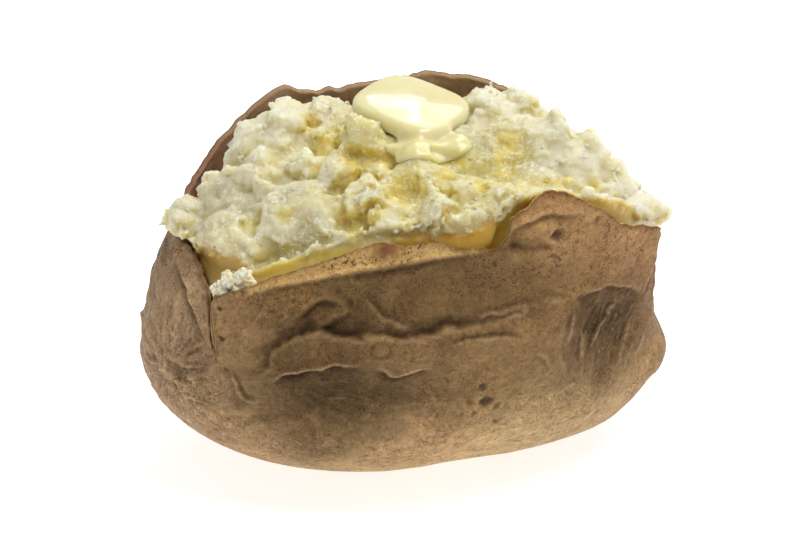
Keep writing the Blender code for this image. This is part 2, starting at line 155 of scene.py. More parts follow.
# Eyes and scars: place in (x, z), radius, depth, and how dark.
EYES = (
    ((11.7, 34.2), 0.9, -0.5, 0.9), ((12.5, 30.2), 1.5, -0.8, 1.0), ((14.9, 28.7), 0.8, -0.5, 0.9),
    ((9.5, 27.4), 0.9, -0.4, 0.7), ((14.7, 24.5), 0.7, -0.4, 0.8), ((28.8, 65.7), 1.3, -0.9, 0.85),
    ((28.4, 60.9), 0.8, -0.4, 0.7), ((-38.0, 55.2), 0.9, -0.4, 0.8), ((-43.2, 51.0), 0.6, -0.5, 1.0),
    ((-43.2, 44.8), 0.6, -0.4, 1.0), ((-52.6, 34.0), 1.9, -1.4, 0.35),
)
# Lumps that the heap is built from: x, y, z, radius.
BIG_LUMPS = (
    (-25, 21, 63, 12.6), (-31, 17, 56.5, 10.5), (-33, 6, 52, 15), (-48.2, 4, 58.2, 4.6), (-37, -6, 53, 12),
    (-24, -4, 58, 12), (-27, 10, 61, 11), (-13, 22, 64, 13), (-12, 6, 63, 10),
    (-15, -10, 58, 11), (-3, -9, 60, 12), (6, 18, 61, 15), (4, -2, 65, 11),
    (1, 8, 64, 13), (12, 6, 64, 12.5),
    (13, -11, 60, 12), (14, 5, 64, 10), (24, 16, 66.3, 13.2), (33, 12, 60, 14), (28, 3, 63, 15),
    (27, -10, 61, 11), (36, -2, 61, 14), (38, 12, 57, 14), (44, -2, 60, 10.0), (47, 5, 51, 11),
    (50, -8, 56, 7.5), (55, -4, 56, 5.5), (54.2, -8, 58.6, 4.6), (-6, 6, 68.5, 8.5), (4, -3, 67, 9.5),
    (14, -2, 68, 8), (19, 6, 69, 8),
)


# ---------------------------------------------------------------- small maths

# The corners of a grid's cell, and a cell with its neighbours.
CUBE = tuple(product((0, 1), repeat=3))
NEIGHBOURS = tuple(product((-1, 0, 1), repeat=3))


def smoothstep(low, high, value):
    share = np.clip((value - low) / (high - low), 0, 1)
    return share * share * (3 - 2 * share)


def bell(value):
    return np.exp(-(value**2))


def mix(a, b, share):
    return a + (b - a) * share


def tinted(colour, other, share):
    """The points' colours, moved towards another colour by each point's share."""
    return mix(np.asarray(colour), np.asarray(other), share[:, None])


def unit(vectors):
    return vectors / np.maximum(np.linalg.norm(vectors, axis=-1, keepdims=True), 1e-9)


def around(table, column, angles):
    """A column of a table at any angles, by a cubic through its points that closes on itself."""
    known = np.array([row[0] for row in table], float)
    values = np.array([row[column] for row in table], float)
    known = np.concatenate([known[-2:] - 360, known, known[:3] + 360])
    values = np.concatenate([values[-2:], values, values[:3]])
    angles = np.asarray(angles, float) % 360
    i = np.clip(np.searchsorted(known, angles, side="right") - 1, 1, len(known) - 3)
    width = known[i + 1] - known[i]
    share = (angles - known[i]) / width
    slope_in = (values[i + 1] - values[i - 1]) / (known[i + 1] - known[i - 1]) * width
    slope_out = (values[i + 2] - values[i]) / (known[i + 2] - known[i]) * width
    steepest = 3 * abs(values[i + 1] - values[i])
    slope_in = np.clip(slope_in, -steepest, steepest)
    slope_out = np.clip(slope_out, -steepest, steepest)
    s2, s3 = share**2, share**3
    start = (2 * s3 - 3 * s2 + 1) * values[i] + (s3 - 2 * s2 + share) * slope_in
    return start + (3 * s2 - 2 * s3) * values[i + 1] + (s3 - s2) * slope_out


def half_width(sine):
    """Half the body's width at the front or the back, by the sine of the angle."""
    return HALF_WIDTH_FRONT + (HALF_WIDTH_BACK - HALF_WIDTH_FRONT) * smoothstep(-1, 1, sine)


def belly(angles):
    cosine, sine = np.cos(np.radians(angles)), np.sin(np.radians(angles))
    reach = around(BELLY, 1, angles)
    return HALF_LENGTH * cosine * reach, half_width(sine) * sine * reach


def body(angles, level):
    """The smooth body: level 0 is the middle of the bottom, 1 the belly line, 2 the WALL height."""
    under, over = np.clip(level, 0, 1), np.maximum(level - 1, 0)
    turn = math.radians(90) * under
    reach = np.sin(turn) ** around(BELLY, 2, angles) * (1 - (1 - around(WALL, 2, angles)) * over**2)
    x, y = belly(angles)
    foot = around(BELLY, 3, angles)
    z = np.maximum(0, (foot + FLAT_DEPTH) * (1 - np.cos(turn)) - FLAT_DEPTH)
    z = z + (around(WALL, 1, angles) - foot) * over
    return np.stack([x * reach, y * reach, z], axis=-1)


def body_normals(angles, level):
    round_it = body(angles + 0.5, level) - body(angles - 0.5, level)
    up_it = body(angles, level + 0.01) - body(angles, level - 0.01)
    return unit(np.cross(round_it, up_it))


def plan_angle(x, y):
    """The body's own angle at a place seen from above, and its share of the plain ellipse."""
    width = 0.5 * (HALF_WIDTH_FRONT + HALF_WIDTH_BACK)
    angle = np.degrees(np.arctan2(y / width, x / HALF_LENGTH))
    for _ in range(2):
        width = half_width(np.sin(np.radians(angle)))
        angle = np.degrees(np.arctan2(y / width, x / HALF_LENGTH))
    return angle % 360, np.hypot(x / HALF_LENGTH, y / width)


def from_line(x, z, line):
    """Signed distance of points above a line in (x, z), and how far along it they are, 0 to 1."""
    best = np.full(x.shape, np.inf)
    signed, along = np.zeros(x.shape), np.zeros(x.shape)
    ends = [np.array(point, float) for point in line]
    lengths = [np.linalg.norm(b - a) for a, b in zip(ends, ends[1:])]
    done = 0.0
    for a, b, length in zip(ends, ends[1:], lengths):
        step = (b - a) / length
        t = np.clip((x - a[0]) * step[0] + (z - a[1]) * step[1], 0, length)
        gap_x, gap_z = x - a[0] - t * step[0], z - a[1] - t * step[1]
        distance = np.hypot(gap_x, gap_z)
        nearer = distance < best
        side = np.sign(gap_z * step[0] - gap_x * step[1])
        best = np.where(nearer, distance, best)
        signed = np.where(nearer, distance * side, signed)
        along = np.where(nearer, (done + t) / sum(lengths), along)
        done += length
    return signed, along


def big_fold_push(x, y, z):
    """How far outwards the big folds move the wall, as in the CAD part."""
    push = np.zeros(np.broadcast(x, y, z).shape)
    for line, height, above, below in BIG_FOLDS:
        signed, along = from_line(x, z, line)
        ends = smoothstep(0, 0.16, along) * smoothstep(1, 0.84, along)
        push = push + height * bell(signed / np.where(signed > 0, above, below)) * (0.3 + 0.7 * ends)
    push = push * smoothstep(4, -16, y)
    corner_z, corner_out, corner_width = RIGHT_CORNER
    return push + corner_out * bell((z - corner_z) / corner_width) * smoothstep(48, 58, x)


def blend_anchors(points, anchors, reach, least):
    """Each point's mix of the values at the anchors, weighed by how near each anchor is."""
    total, mixed = np.full(len(points), least), 0
    for place, *values, spread in anchors:
        weight = np.exp(-(((points - place) ** 2).sum(-1)) / (reach * spread) ** 2) + 1e-9
        total += weight
        mixed = mixed + weight[:, None] * np.concatenate(values)
    return mixed / total[:, None]


# ---------------------------------------------------------------- noise in space


def scramble(lattice, seed):
    """A well mixed 32-bit number for each lattice point."""
    h = np.full(len(lattice), seed * 0x9E3779B1 & 0xFFFFFFFF, np.uint32)
    for part, factor in zip(lattice.T, (0x8DA6B343, 0xD8163841, 0xCB1AB31F)):
        h ^= part.astype(np.uint32) * np.uint32(factor)
    for shift, factor in ((15, 0x2C1B3C6D), (12, 0x297A2D39)):
        h ^= h >> np.uint32(shift)
        h *= np.uint32(factor)
    return h ^ (h >> np.uint32(15))


def digits(h, place):
    """One of the three groups of ten bits in a mixed number."""
    return ((h >> np.uint32(10 * place)) & np.uint32(1023)).astype(float)


def corner_weight(f, corner):
    near = [f[:, k] if far else 1 - f[:, k] for k, far in enumerate(corner)]
    return near[0] * near[1] * near[2]


def perlin(points, size, seed=0):
    """Smooth noise, about -1 to 1, with features of that size in mm (a number or one per axis)."""
    p = points / np.asarray(size, float) + 137.0
    cell = np.floor(p).astype(np.int64)
    f = p - cell
    fade = f * f * f * (f * (f * 6 - 15) + 10)
    total = np.zeros(len(p))
    for corner in CUBE:
        h = scramble(cell + corner, seed)
        dot = sum((digits(h, k) / 511.5 - 1) * (f[:, k] - corner[k]) for k in range(3))
        total += dot * corner_weight(fade, corner)
    return total * 1.5


def layered(noise, size, octaves, seed, fade):
    """Sums ever finer layers of a noise, each weaker than the one before."""
    size = np.asarray(size, float)
    total, weight, whole = 0, 1.0, 0.0
    for octave in range(octaves):
        total = total + weight * noise(size / 2**octave, seed + octave * 7)
        whole += weight
        weight *= fade
    return total / whole


def fbm(points, size, octaves, seed):
    return layered(lambda step, number: perlin(points, step, number), size, octaves, seed, 0.5)


def ridged(points, size, octaves, seed, power):
    """Noise with sharp crests, 0 to 1, 1 on the crests."""

    def crest(step, number):
        return (1 - np.minimum(abs(perlin(points, step, number)) * 2.2, 1)) ** power

    return layered(crest, size, octaves, seed, 0.55)


def worley(points, size, seed):
    """Distances to the nearest and second nearest of scattered points, in sizes, and its number."""
    p = points / size + 91.0
    cell = np.floor(p).astype(np.int64)
    first, second = np.full(len(p), 9.0), np.full(len(p), 9.0)
    name = np.zeros(len(p))
    for step in NEIGHBOURS:
        near = cell + step
        h = scramble(near, seed)
        gaps = [(near[:, k] + digits(h, k) / 1023 - p[:, k]) ** 2 for k in range(3)]
        distance = np.sqrt(gaps[0] + gaps[1] + gaps[2])
        closer = distance < first
        second = np.where(closer, first, np.minimum(second, distance))
        first = np.where(closer, distance, first)
        name = np.where(closer, (h >> np.uint32(7)) / 33554432.0, name)
    return first, second, name


# ---------------------------------------------------------------- meshes


def new_object(name, data):
    thing = bpy.data.objects.new(name, data)
    bpy.context.scene.collection.objects.link(thing)
    return thing


def make_piece(name, points, quads, node, attributes, triangles=()):
    """A mesh object from points in mm, quads and triangles, riding on the one body."""
    mesh = bpy.data.meshes.new(name)
    quads = np.asarray(quads, np.int64).reshape(-1, 4)
    triangles = np.asarray(triangles, np.int64).reshape(-1, 3)
    corners = np.concatenate([quads.ravel(), triangles.ravel()])
    starts = [np.arange(len(quads)) * 4, len(quads) * 4 + np.arange(len(triangles)) * 3]
    mesh.vertices.add(len(points))
    mesh.vertices.foreach_set("co", (np.asarray(points, float) * 0.001).astype(np.float32).ravel())
    mesh.loops.add(len(corners))
    mesh.loops.foreach_set("vertex_index", corners.astype(np.int32))
    mesh.polygons.add(len(quads) + len(triangles))
    mesh.polygons.foreach_set("loop_start", np.concatenate(starts).astype(np.int32))
    mesh.update(calc_edges=True)
    mesh.validate()
    mesh.shade_smooth()
    for label, values in attributes.items():
        values = np.asarray(values, np.float32)
        if values.ndim == 1:
            mesh.attributes.new(label, "FLOAT", "POINT").data.foreach_set("value", values)
        else:
            colour = np.ones((len(values), 4), np.float32)
            colour[:, :3] = values
            layer = mesh.attributes.new(label, "FLOAT_COLOR", "POINT")
            layer.data.foreach_set("color", colour.ravel())
    piece = new_object(name, mesh)
    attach(piece, "root")
    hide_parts(node)
    return piece


def close_rings(rings, bottom, top):
    """Points, quads and triangles of rings from low to high, closed by a point at either end."""
    rows, count = rings.shape[:2]
    points = np.concatenate([rings.reshape(-1, 3), [bottom, top]])
    here = np.arange(count)
    after = np.roll(here, -1)
    row = np.arange(rows - 1)[:, None] * count
    quads = np.stack([row + here, row + after, row + count + after, row + count + here], -1)
    last = (rows - 1) * count
    lower = np.stack([np.full(count, len(points) - 2), after, here], -1)
    upper = np.stack([last + here, last + after, np.full(count, len(points) - 1)], -1)
    return points, quads, np.concatenate([lower, upper])


def keep_large(points, quads, least):
    """Drops loose bits with fewer points than least."""
    label = np.arange(len(points))
    edges = np.concatenate([quads[:, [0, 1]], quads[:, [1, 2]], quads[:, [2, 3]]])
    while True:
        low = np.minimum(label[edges[:, 0]], label[edges[:, 1]])
        new = label.copy()
        np.minimum.at(new, edges[:, 0], low)
        np.minimum.at(new, edges[:, 1], low)
        new = new[new]
        new = new[new]
        if (new == label).all():
            break
        label = new
    sizes = np.bincount(label, minlength=len(points))
    keep = sizes[label] >= least
    fresh = np.cumsum(keep) - 1
    return points[keep], fresh[quads[keep[quads[:, 0]]]]


def merge_hidden(points, quads, hidden, size):
    """Makes the hidden part of a closed mesh coarse: its points are merged in cells of that size."""
    cell = np.floor(points / size).astype(np.int64) + 500
    key = np.where(hidden, (cell * (1, 1000, 1000000)).sum(-1), -1 - np.arange(len(points)))
    _, first, group = np.unique(key, return_index=True, return_inverse=True)
    quads = first[group.ravel()][quads]
    same = quads == np.roll(quads, 1, axis=1)
    crossed = (quads[:, 0] == quads[:, 2]) | (quads[:, 1] == quads[:, 3])
    whole = (same.sum(1) == 0) & ~crossed
    three = (same.sum(1) == 1) & ~crossed
    triangles = quads[three][~same[three]].reshape(-1, 3)
    kept = np.zeros(len(points), bool)
    kept[quads[whole]] = True
    kept[triangles] = True
    fresh = np.cumsum(kept) - 1
    return kept, fresh[quads[whole]], fresh[triangles]


def gather(index, vectors, count):
    """Adds up vectors by the index that each goes to."""
    return np.stack([np.bincount(index, vectors[:, k], count) for k in range(3)], -1)


def vertex_normals(points, quads):
    a, b, c, d = (points[quads[:, k]] for k in range(4))
    flat = np.cross(c - a, d - b)
    return unit(sum(gather(quads[:, k], flat, len(points)) for k in range(4)))


def relax(points, quads, rounds, strength):
    """Smooths a mesh by moving each point towards the middle of its neighbours."""
    count = len(points)
    starts, ends = quads.T.ravel(), np.roll(quads, -1, axis=1).T.ravel()
    degree = np.bincount(starts, minlength=count) + np.bincount(ends, minlength=count)
    for _ in range(rounds):
        middle = gather(starts, points[ends], count) + gather(ends, points[starts], count)
        points = points + (middle / np.maximum(degree, 1)[:, None] - points) * strength
    return points


def soft_min(a, b, reach):
    """The smaller of two distances, rounded where they meet."""
    h = np.clip(0.5 + 0.5 * (b - a) / reach, 0, 1)
    return b + (a - b) * h - reach * h * (1 - h)


def soft_max(a, b, reach):
    return -soft_min(-a, -b, reach)


def from_centre(places, centre, radii):
    """How far places are from a centre, as a share of the radii."""
    return np.sqrt(sum(((p - c) / s) ** 2 for p, c, s in zip(places, centre, radii)))


class Field:
    """Distances to a shape, negative inside, sampled on a regular grid in a box of space."""

    def __init__(self, low, high, step):
        self.low, self.step = np.array(low, float), step
        self.shape = tuple(int(round((b - a) / step)) + 1 for a, b in zip(low, high))
        self.axes = [(self.low[k] + np.arange(self.shape[k]) * step).astype(np.float32) for k in range(3)]
        self.values = np.full(self.shape, 99.0, np.float32)
        self.shift = None

    def grids(self, cuts=(slice(None),) * 3):
        x, y, z = (axis[cut] for axis, cut in zip(self.axes, cuts))
        return x[:, None, None], y[None, :, None], z[None, None, :]

    def bend_space(self, waves, every=4):
        """Shifts the coordinates that blocks give, by waves of noise: size in mm and height."""
        coarse = [np.append(axis[::every], axis[::every][-1] + every * self.step) for axis in self.axes]
        points = np.stack(np.meshgrid(*coarse, indexing="ij"), -1).reshape(-1, 3)
        self.shift = []
        for axis in range(3):
            bend = sum(height * perlin(points, size, 600 + axis + 3 * size) for size, height in waves)
            bend = bend.reshape([len(c) for c in coarse]).astype(np.float32)
            for k, fine in enumerate(self.axes):
                place = (fine - self.low[k]) / (every * self.step)
                first = np.minimum(place.astype(int), bend.shape[k] - 2)
                share = (place - first).astype(np.float32).reshape([-1 if a == k else 1 for a in range(3)])
                bend = np.take(bend, first, k) * (1 - share) + np.take(bend, first + 1, k) * share
            self.shift.append(bend)

    def points(self, where):
        return self.low + np.argwhere(where) * self.step

    def block(self, centre, reach):
        """The slices of the samples within reach of a point, and their coordinates."""
        cuts = []
        for k in range(3):
            first = int(max(0, math.floor((centre[k] - reach - self.low[k]) / self.step)))
            last = int(min(self.shape[k], math.ceil((centre[k] + reach - self.low[k]) / self.step) + 1))
            cuts.append(slice(first, max(last, first)))
        cuts = tuple(cuts)
        places = self.grids(cuts)
        if self.shift:
            places = [place + shift[cuts] for place, shift in zip(places, self.shift)]
        return cuts, places

    def sample(self, points, values=None):
        """Values at any points, by straight-line blending between the samples."""
        values = self.values if values is None else values
        p = np.clip((points - self.low) / self.step, 0, np.array(self.shape) - 1.001)
        i = p.astype(np.int64)
        total = 0
        for corner in CUBE:
            total = total + corner_weight(p - i, corner) * values[tuple((i + corner).T)]
        return total

    def add_ball(self, centre, radius, reach, stretch=(1, 1, 1), cut=False):
        cuts, places = self.block(centre, radius * max(stretch) + reach + 2.5)
        distance = (from_centre(places, centre, stretch) - radius) * min(stretch)
        here = self.values[cuts]
        joined = soft_max(here, -distance, reach) if cut else soft_min(here, distance, reach)
        self.values[cuts] = joined

    def add_chunk(self, centre, radius, reach, stretch, random):
        """A lump with blunt corners, turned at random."""
        turned = np.linalg.qr(random.normal(size=(3, 3)))[0]
        cuts, places = self.block(centre, 1.2 * radius * max(stretch) + reach + 2.5)
        total = 0
        for axis, share in zip(turned, stretch):
            along = sum((p - c) * a for p, c, a in zip(places, centre, axis))
            total = total + (along / share) ** 4
        distance = (total**0.25 - 0.9 * radius) * min(stretch)
        self.values[cuts] = soft_min(self.values[cuts], distance, reach)

    def close(self):
        """Keeps the shape off the sides of the box, so that its surface is closed."""
        for side in (0, -1):
            self.values[side], self.values[:, side], self.values[:, :, side] = 9, 9, 9

    def surface(self, least, rounds, strength):
        """The closed surface where the field is 0, without small loose bits, and smoothed."""
        self.close()
        points, quads = keep_large(*self.nets(), least)
        return relax(points, quads, rounds, strength), quads

    def nets(self):
        """The surface where the field is 0: points in mm, and quads."""
        field, shape = self.values, self.shape
        inside = field < 0
        count = np.zeros(tuple(n - 1 for n in shape), np.int8)
        for a, b, c in CUBE:
            count += inside[a : shape[0] - 1 + a, b : shape[1] - 1 + b, c : shape[2] - 1 + c]
        active = (count > 0) & (count < 8)
        index = np.full(active.shape, -1, np.int64)
        cells = np.argwhere(active)
        index[active] = np.arange(len(cells))
        values = {corner: field[tuple((cells + corner).T)] for corner in CUBE}
        where, found = np.zeros((len(cells), 3)), np.zeros(len(cells))
        for one, axis in product(CUBE, range(3)):
            if one[axis]:
                continue
            two = tuple(v + (k == axis) for k, v in enumerate(one))
            crossing = (values[one] < 0) != (values[two] < 0)
            with np.errstate(divide="ignore", invalid="ignore"):
                t = np.where(crossing, values[one] / (values[one] - values[two]), 0)
            point = np.array(one, float)[None, :] * np.ones((len(cells), 1))
            point[:, axis] += t
            where += point * crossing[:, None]
            found += crossing
        points = self.low + (cells + where / found[:, None]) * self.step
        quads = []
        for axis in range(3):
            low, high = [slice(1, -1)] * 3, [slice(1, -1)] * 3
            low[axis], high[axis] = slice(0, -1), slice(1, None)
            here, there = inside[tuple(low)], inside[tuple(high)]
            at = np.argwhere(here != there)
            outward = here[tuple(at.T)]
            ring = []
            for step in ((0, 0), (1, 0), (1, 1), (0, 1)):
                cell = at.copy()
                cell[:, (axis + 1) % 3] += step[0]
                cell[:, (axis + 2) % 3] += step[1]
                ring.append(index[tuple(cell.T)])
            ring = np.stack(ring, -1)
            quads.append(np.where(outward[:, None], ring, ring[:, ::-1]))
        quads = np.concatenate(quads)
        return points, quads[(quads >= 0).all(axis=1)]


# ---------------------------------------------------------------- the skin

SKIN_COLUMNS = 560
BELOW_ROWS, ABOVE_ROWS = 40, 92
BOTTOM_LEVELS = (0.05, 0.11, 0.16, 0.20, 0.25, 0.31)
# Where the torn edge turns sharply and needs closer columns: angle, extra share, spread in degrees.
TORN_CORNERS = ((221, 3.0, 6), (294, 1.6, 4), (337, 2.2, 5))
# The torn lip's rows: depth into the skin, and rise.
LIP_ROWS = ((0.35, 0.15), (0.75, 0.2), (1.15, 0.1))
# The inside's rows, counted down from the torn edge.
INNER_STEPS = (0, 1, 2, 3, 5, 7, 9, 12, 15, 19, 24, 30, 38, 48, 60, 80, 100, 120, 130)
LIP_FOLD = ((-41, 53), (-31, 56.7), (-22, 58.3), (-9, 60), (3, 61.8), (16, 63.7))
NOSE_TIP, NOSE_NORMAL = (-54.0, -16.0, 34.0), (-0.75, -0.62, 0.1)
SCAB_X, PEAK_X = -7.5, 29
# A faint ring on the long ridge: its middle in (x, z) and radius.
RING, RING_RADIUS = (-10.6, 45.2), 1.5

# Patches of fine wrinkles on the front: middle and half size in (x, z), slant in degrees, spacing
# along and across in mm, height, how far their crests are painted pale, partly as rubbed dry skin and
# partly as painted light, how thin, and seed.
WRINKLES = (
    ((43, 37), (9, 11), 66, 9.0, 1.7, 0.5, 0.7, 3.4, 43),
    ((49, 44), (6, 5), 40, 7.0, 2.4, 0.4, 0.7, 3.0, 47),
    ((-31, 46), (12, 9), 10, 7.0, 2.6, 0.4, 0.35, 2.4, 83),
    ((-16, 33), (18, 7), -20, 12.0, 3.0, 0.45, 0.3, 3.0, 85),
    ((-48, 26), (9, 6), 28, 5.0, 2.6, 0.55, 0.8, 3.0, 63),
    ((-52, 44), (9, 12), 80, 14.0, 1.5, 0.16, 0.3, 2.0, 65),
    ((18, 32), (12, 8), -30, 8.0, 3.4, 0.3, 0.3, 3.0, 67),
    ((0, 19), (46, 5), 3, 16.0, 2.4, 0.22, 0.25, 2.4, 73),
    ((10, 54), (20, 5), 24, 12.0, 4.0, 0.25, 0.15, 2.4, 75),
)

# How the skin's colour changes over the front and round the rest, darkened by painted shade in the
# front's hollows: place, then red, green and blue, then how far it spreads in mm.
SKIN_COLOURS_AND_SHADE = (
    ((-38, -21, 52), (0.27, 0.16, 0.075), 4), ((-28, -25, 54), (0.22, 0.13, 0.05), 4),
    ((-16, -28, 55), (0.17, 0.105, 0.042), 5), ((0, -30, 56), (0.18, 0.11, 0.045), 6),
    ((16, -31, 56), (0.2, 0.12, 0.05), 6), ((27, -30, 60), (0.3, 0.18, 0.08), 4),
    ((-38, -24, 44), (0.345, 0.215, 0.097), 5), ((-29, -28, 45), (0.125, 0.075, 0.033), 4),
    ((-18, -31, 49), (0.14, 0.082, 0.035), 4), ((0, -33, 50), (0.15, 0.088, 0.037), 6),
    ((14, -33, 50), (0.19, 0.115, 0.048), 5), ((24, -32, 52), (0.18, 0.108, 0.045), 5),
    ((-24, -31, 43), (0.265, 0.16, 0.069), 4), ((-8, -34, 43.5), (0.315, 0.19, 0.083), 5),
    ((8, -35, 44), (0.31, 0.19, 0.085), 6), ((22, -34, 45), (0.27, 0.16, 0.068), 5),
    ((-34, -29, 34), (0.13, 0.082, 0.036), 5), ((-22, -34, 35), (0.018, 0.009, 0.002), 7),
    ((-8, -36, 35), (0.06, 0.036, 0.013), 6), ((6, -37, 35), (0.15, 0.088, 0.036), 5),
    ((18, -36, 36), (0.24, 0.145, 0.063), 6), ((32, -31, 33), (0.22, 0.135, 0.062), 5),
    ((0, -38, 24), (0.24, 0.145, 0.068), 7), ((-22, -36, 24), (0.22, 0.137, 0.062), 7),
    ((-40, -28, 22), (0.385, 0.25, 0.13), 8), ((0, -38, 15), (0.61, 0.395, 0.2), 9),
    ((28, -33, 18), (0.47, 0.335, 0.17), 9), ((46, -24, 22), (0.42, 0.28, 0.14), 9),
    ((30, -29, 70), (0.44, 0.26, 0.11), 4), ((30, -30, 64), (0.36, 0.215, 0.1), 3),
    ((42, -24, 58), (0.35, 0.205, 0.093), 7), ((50, -18, 52), (0.33, 0.19, 0.085), 6),
    ((40, -27, 46), (0.085, 0.049, 0.019), 4), ((45, -24, 40), (0.018, 0.006, 0.001), 6.5),
    ((42, -27, 33), (0.055, 0.028, 0.009), 6), ((56, -8, 34), (0.27, 0.16, 0.075), 8),
    ((-48, -12, 50), (0.4, 0.27, 0.158), 6), ((-54, -10, 42), (0.39, 0.265, 0.152), 7),
    ((-46, -20, 36), (0.225, 0.152, 0.086), 4), ((-54, -13, 28), (0.42, 0.285, 0.165), 7),
    ((-46, 16, 50), (0.32, 0.21, 0.12), 14), ((-20, 38, 55), (0.31, 0.2, 0.11), 18),
    ((20, 40, 60), (0.34, 0.22, 0.115), 18), ((50, 16, 42), (0.3, 0.19, 0.1), 16),
    ((0, 40, 28), (0.34, 0.225, 0.115), 18), ((0, 24, 8), (0.44, 0.31, 0.16), 20),
    ((0, -24, 7), (0.46, 0.33, 0.165), 14),
)
# The colour of the lip's band, which faces up: its own tan, made lighter as painted light.
LIP_LIT_COLOUR = (0.56, 0.365, 0.14)
# Colours of the inside: the back's middle, left and right, then the front flap and its torn corner.
INSIDE_BACK = ((0.42, 0.28, 0.165), (0.32, 0.18, 0.115), (0.44, 0.30, 0.14))
INSIDE_FRONT = ((0.70, 0.50, 0.13), (0.36, 0.25, 0.12))


def skin_angles():
    """Angles of the skin's columns, closer at the front and closest at the torn corners."""
    fine = np.arange(0, 360, 0.05)
    density = 1 + 1.3 * smoothstep(165, 185, fine)
    for angle, extra, spread in TORN_CORNERS:
        density += extra * bell((fine - angle) / spread)
    total = np.concatenate([[0], np.cumsum(density)])
    return np.interp(np.linspace(0, total[-1], SKIN_COLUMNS, endpoint=False), total[:-1], fine)


def rounded(line):
    """A bent line with its corners rounded, as many short steps."""
    ends = np.array([line[0], *line, line[-1]], float)
    steps = np.linspace(0, 1, 5, endpoint=False)[:, None]
    parts = []
    for a, b, c, d in zip(ends, ends[1:], ends[2:], ends[3:]):
        curve = 2 * b + (c - a) * steps + (2 * a - 5 * b + 4 * c - d) * steps**2
        parts.append((curve + (3 * b - a - 3 * c + d) * steps**3) / 2)
    return np.concatenate([*parts, ends[-1:]])


def crease_push(points):
    """The front's creases: how far they move the skin, the crests painted pale, partly rubbed dry skin and
    partly painted light, and the painted shade beside them.
    """
    x, y, z = points.T
    x = x + 0.55 * perlin(points, 3.6, 151) + 0.25 * perlin(points, 1.5, 152)
    z = z + 0.50 * perlin(points, 3.6, 153) + 0.25 * perlin(points, 1.5, 154)
    uneven = 1 + 0.45 * perlin(points, 6.0, 155)
    patchy = 1 + 0.9 * perlin(points, 2.2, 156)
    push, crest, shade = np.zeros((3, len(points)))
    for line, height, above, below, sharpness, wear_and_highlight, drop, reach in CREASES:
        low, high = np.min(line, 0) - (8, 10), np.max(line, 0) + (8, 10)
        near = (x > low[0]) & (x < high[0]) & (z > low[1]) & (z < high[1]) & (y < 8)
        signed, along = from_line(x[near], z[near], rounded(line))
        width = np.where(signed > 0, above, below)
        ends = smoothstep(0, 0.3, along) * smoothstep(1, 0.7, along) * uneven[near]
        steep = np.maximum(signed if above < below else -signed, 0)
        fall = drop * bell(steep / reach) * (1 - bell(steep / 0.7))
        push[near] += ends * (height * np.exp(-(abs(signed / width) ** sharpness)) - fall)
        crest[near] = np.maximum(crest[near], wear_and_highlight * ends * bell(signed / 0.27))
        if height > 0:
            beside = 0.8 * bell((steep - 0.7) / 0.4)
            beside += 0.5 * bell(steep / reach) * (steep > 0) * patchy[near]
            depth = min(1.0, 0.45 * height + 0.35 * drop)
            shade[near] = np.maximum(shade[near], depth * ends * beside)
    facing = smoothstep(7, -4, y)
    return push * facing, crest * facing, shade * facing


def around_point(points, centre, normal):
    """Polar coordinates of points in the plane that touches the skin at centre."""
    normal = unit(np.array(normal))
    level_axis = unit(np.cross((0.0, 0.0, 1.0), normal))
    up_axis = np.cross(normal, level_axis)
    offset = points - centre
    a, b = offset @ level_axis, offset @ up_axis
    return np.hypot(a, b), np.arctan2(b, a), abs(offset @ normal)


def lip_bend(x, y, z):
    """The front flap's top bends in over the opening, above its fold: its push, and its band of painted
    light.
    """
    signed, along = from_line(x, z, LIP_FOLD)
    there = smoothstep(4, -6, y) * smoothstep(0, 0.1, along) * smoothstep(1, 0.9, along)
    return -there * 0.55 * np.clip(signed, 0, 5) ** 1.2, there * smoothstep(-0.2, 0.7, signed)


def skin_relief(points):
    """Wrinkles and dents finer than the creases, for points in mm: the push, and crest lines."""
    x, y, z = points.T
    front = smoothstep(8, -8, y)
    push = (0.30 + 0.25 * (1 - front)) * fbm(points, (12, 12, 9), 3, 1)
    # Long soft folds all round, weaker on the front, which has its own.
    folds = ridged(points + 5 * perlin(points, 14, 3)[:, None], (26, 26, 6), 2, 11, 1.5)
    push += (1.0 * (1 - front) + 0.12 * front) * (folds - 0.35) * smoothstep(4, 14, z)
    crest = 0.35 * (1 - front) * smoothstep(0.72, 0.95, folds)
    # Leathery wrinkles in patches.
    patch = smoothstep(-0.1, 0.5, perlin(points, 16, 21)) * mix(1, 0.35, front)
    fine = ridged(points + 1.2 * perlin(points, 4, 5)[:, None], (7, 7, 3.6), 2, 31, 2.2)
    push += 0.6 * patch * (fine - 0.25)
    crest = np.maximum(crest, 0.6 * patch * smoothstep(0.66, 0.9, fine))
    for middle, half, slant, length, width, height, wear_and_highlight, thin, seed in WRINKLES:
        zone = np.exp(-(((x - middle[0]) / half[0]) ** 2) - ((z - middle[1]) / half[1]) ** 2)
        zone = np.minimum(1, 1.4 * zone) * front
        cosine, sine = math.cos(math.radians(slant)), math.sin(math.radians(slant))
        along, across = x * cosine + z * sine, z * cosine - x * sine
        streaks = np.stack([along / length, across / width, y / length], -1)
        streaks += 0.5 * perlin(points, 2.4 * width, seed + 1)[:, None]
        lines = ridged(streaks, 1.0, 2, seed, thin)
        push += height * zone * (lines - 0.2)
        crest = np.maximum(crest, wear_and_highlight * zone * smoothstep(0.55, 0.85, lines))
    # Wrinkles that run out from the eye at the nose's tip.
    radius, turn, off = around_point(points, NOSE_TIP, NOSE_NORMAL)
    star = np.stack([np.cos(turn) * 4.2, np.sin(turn) * 4.2, radius / 14], -1)
    star += 0.30 * perlin(points, 5, 51)[:, None]
    rays = ridged(star, 1.0, 2, 53, 3.4)
    reach = smoothstep(2, 5, radius) * smoothstep(18, 8, radius) * smoothstep(16, 8, off)
    push += 0.8 * reach * (rays - 0.25)
    return push, np.maximum(crest, reach * smoothstep(0.62, 0.85, rays))


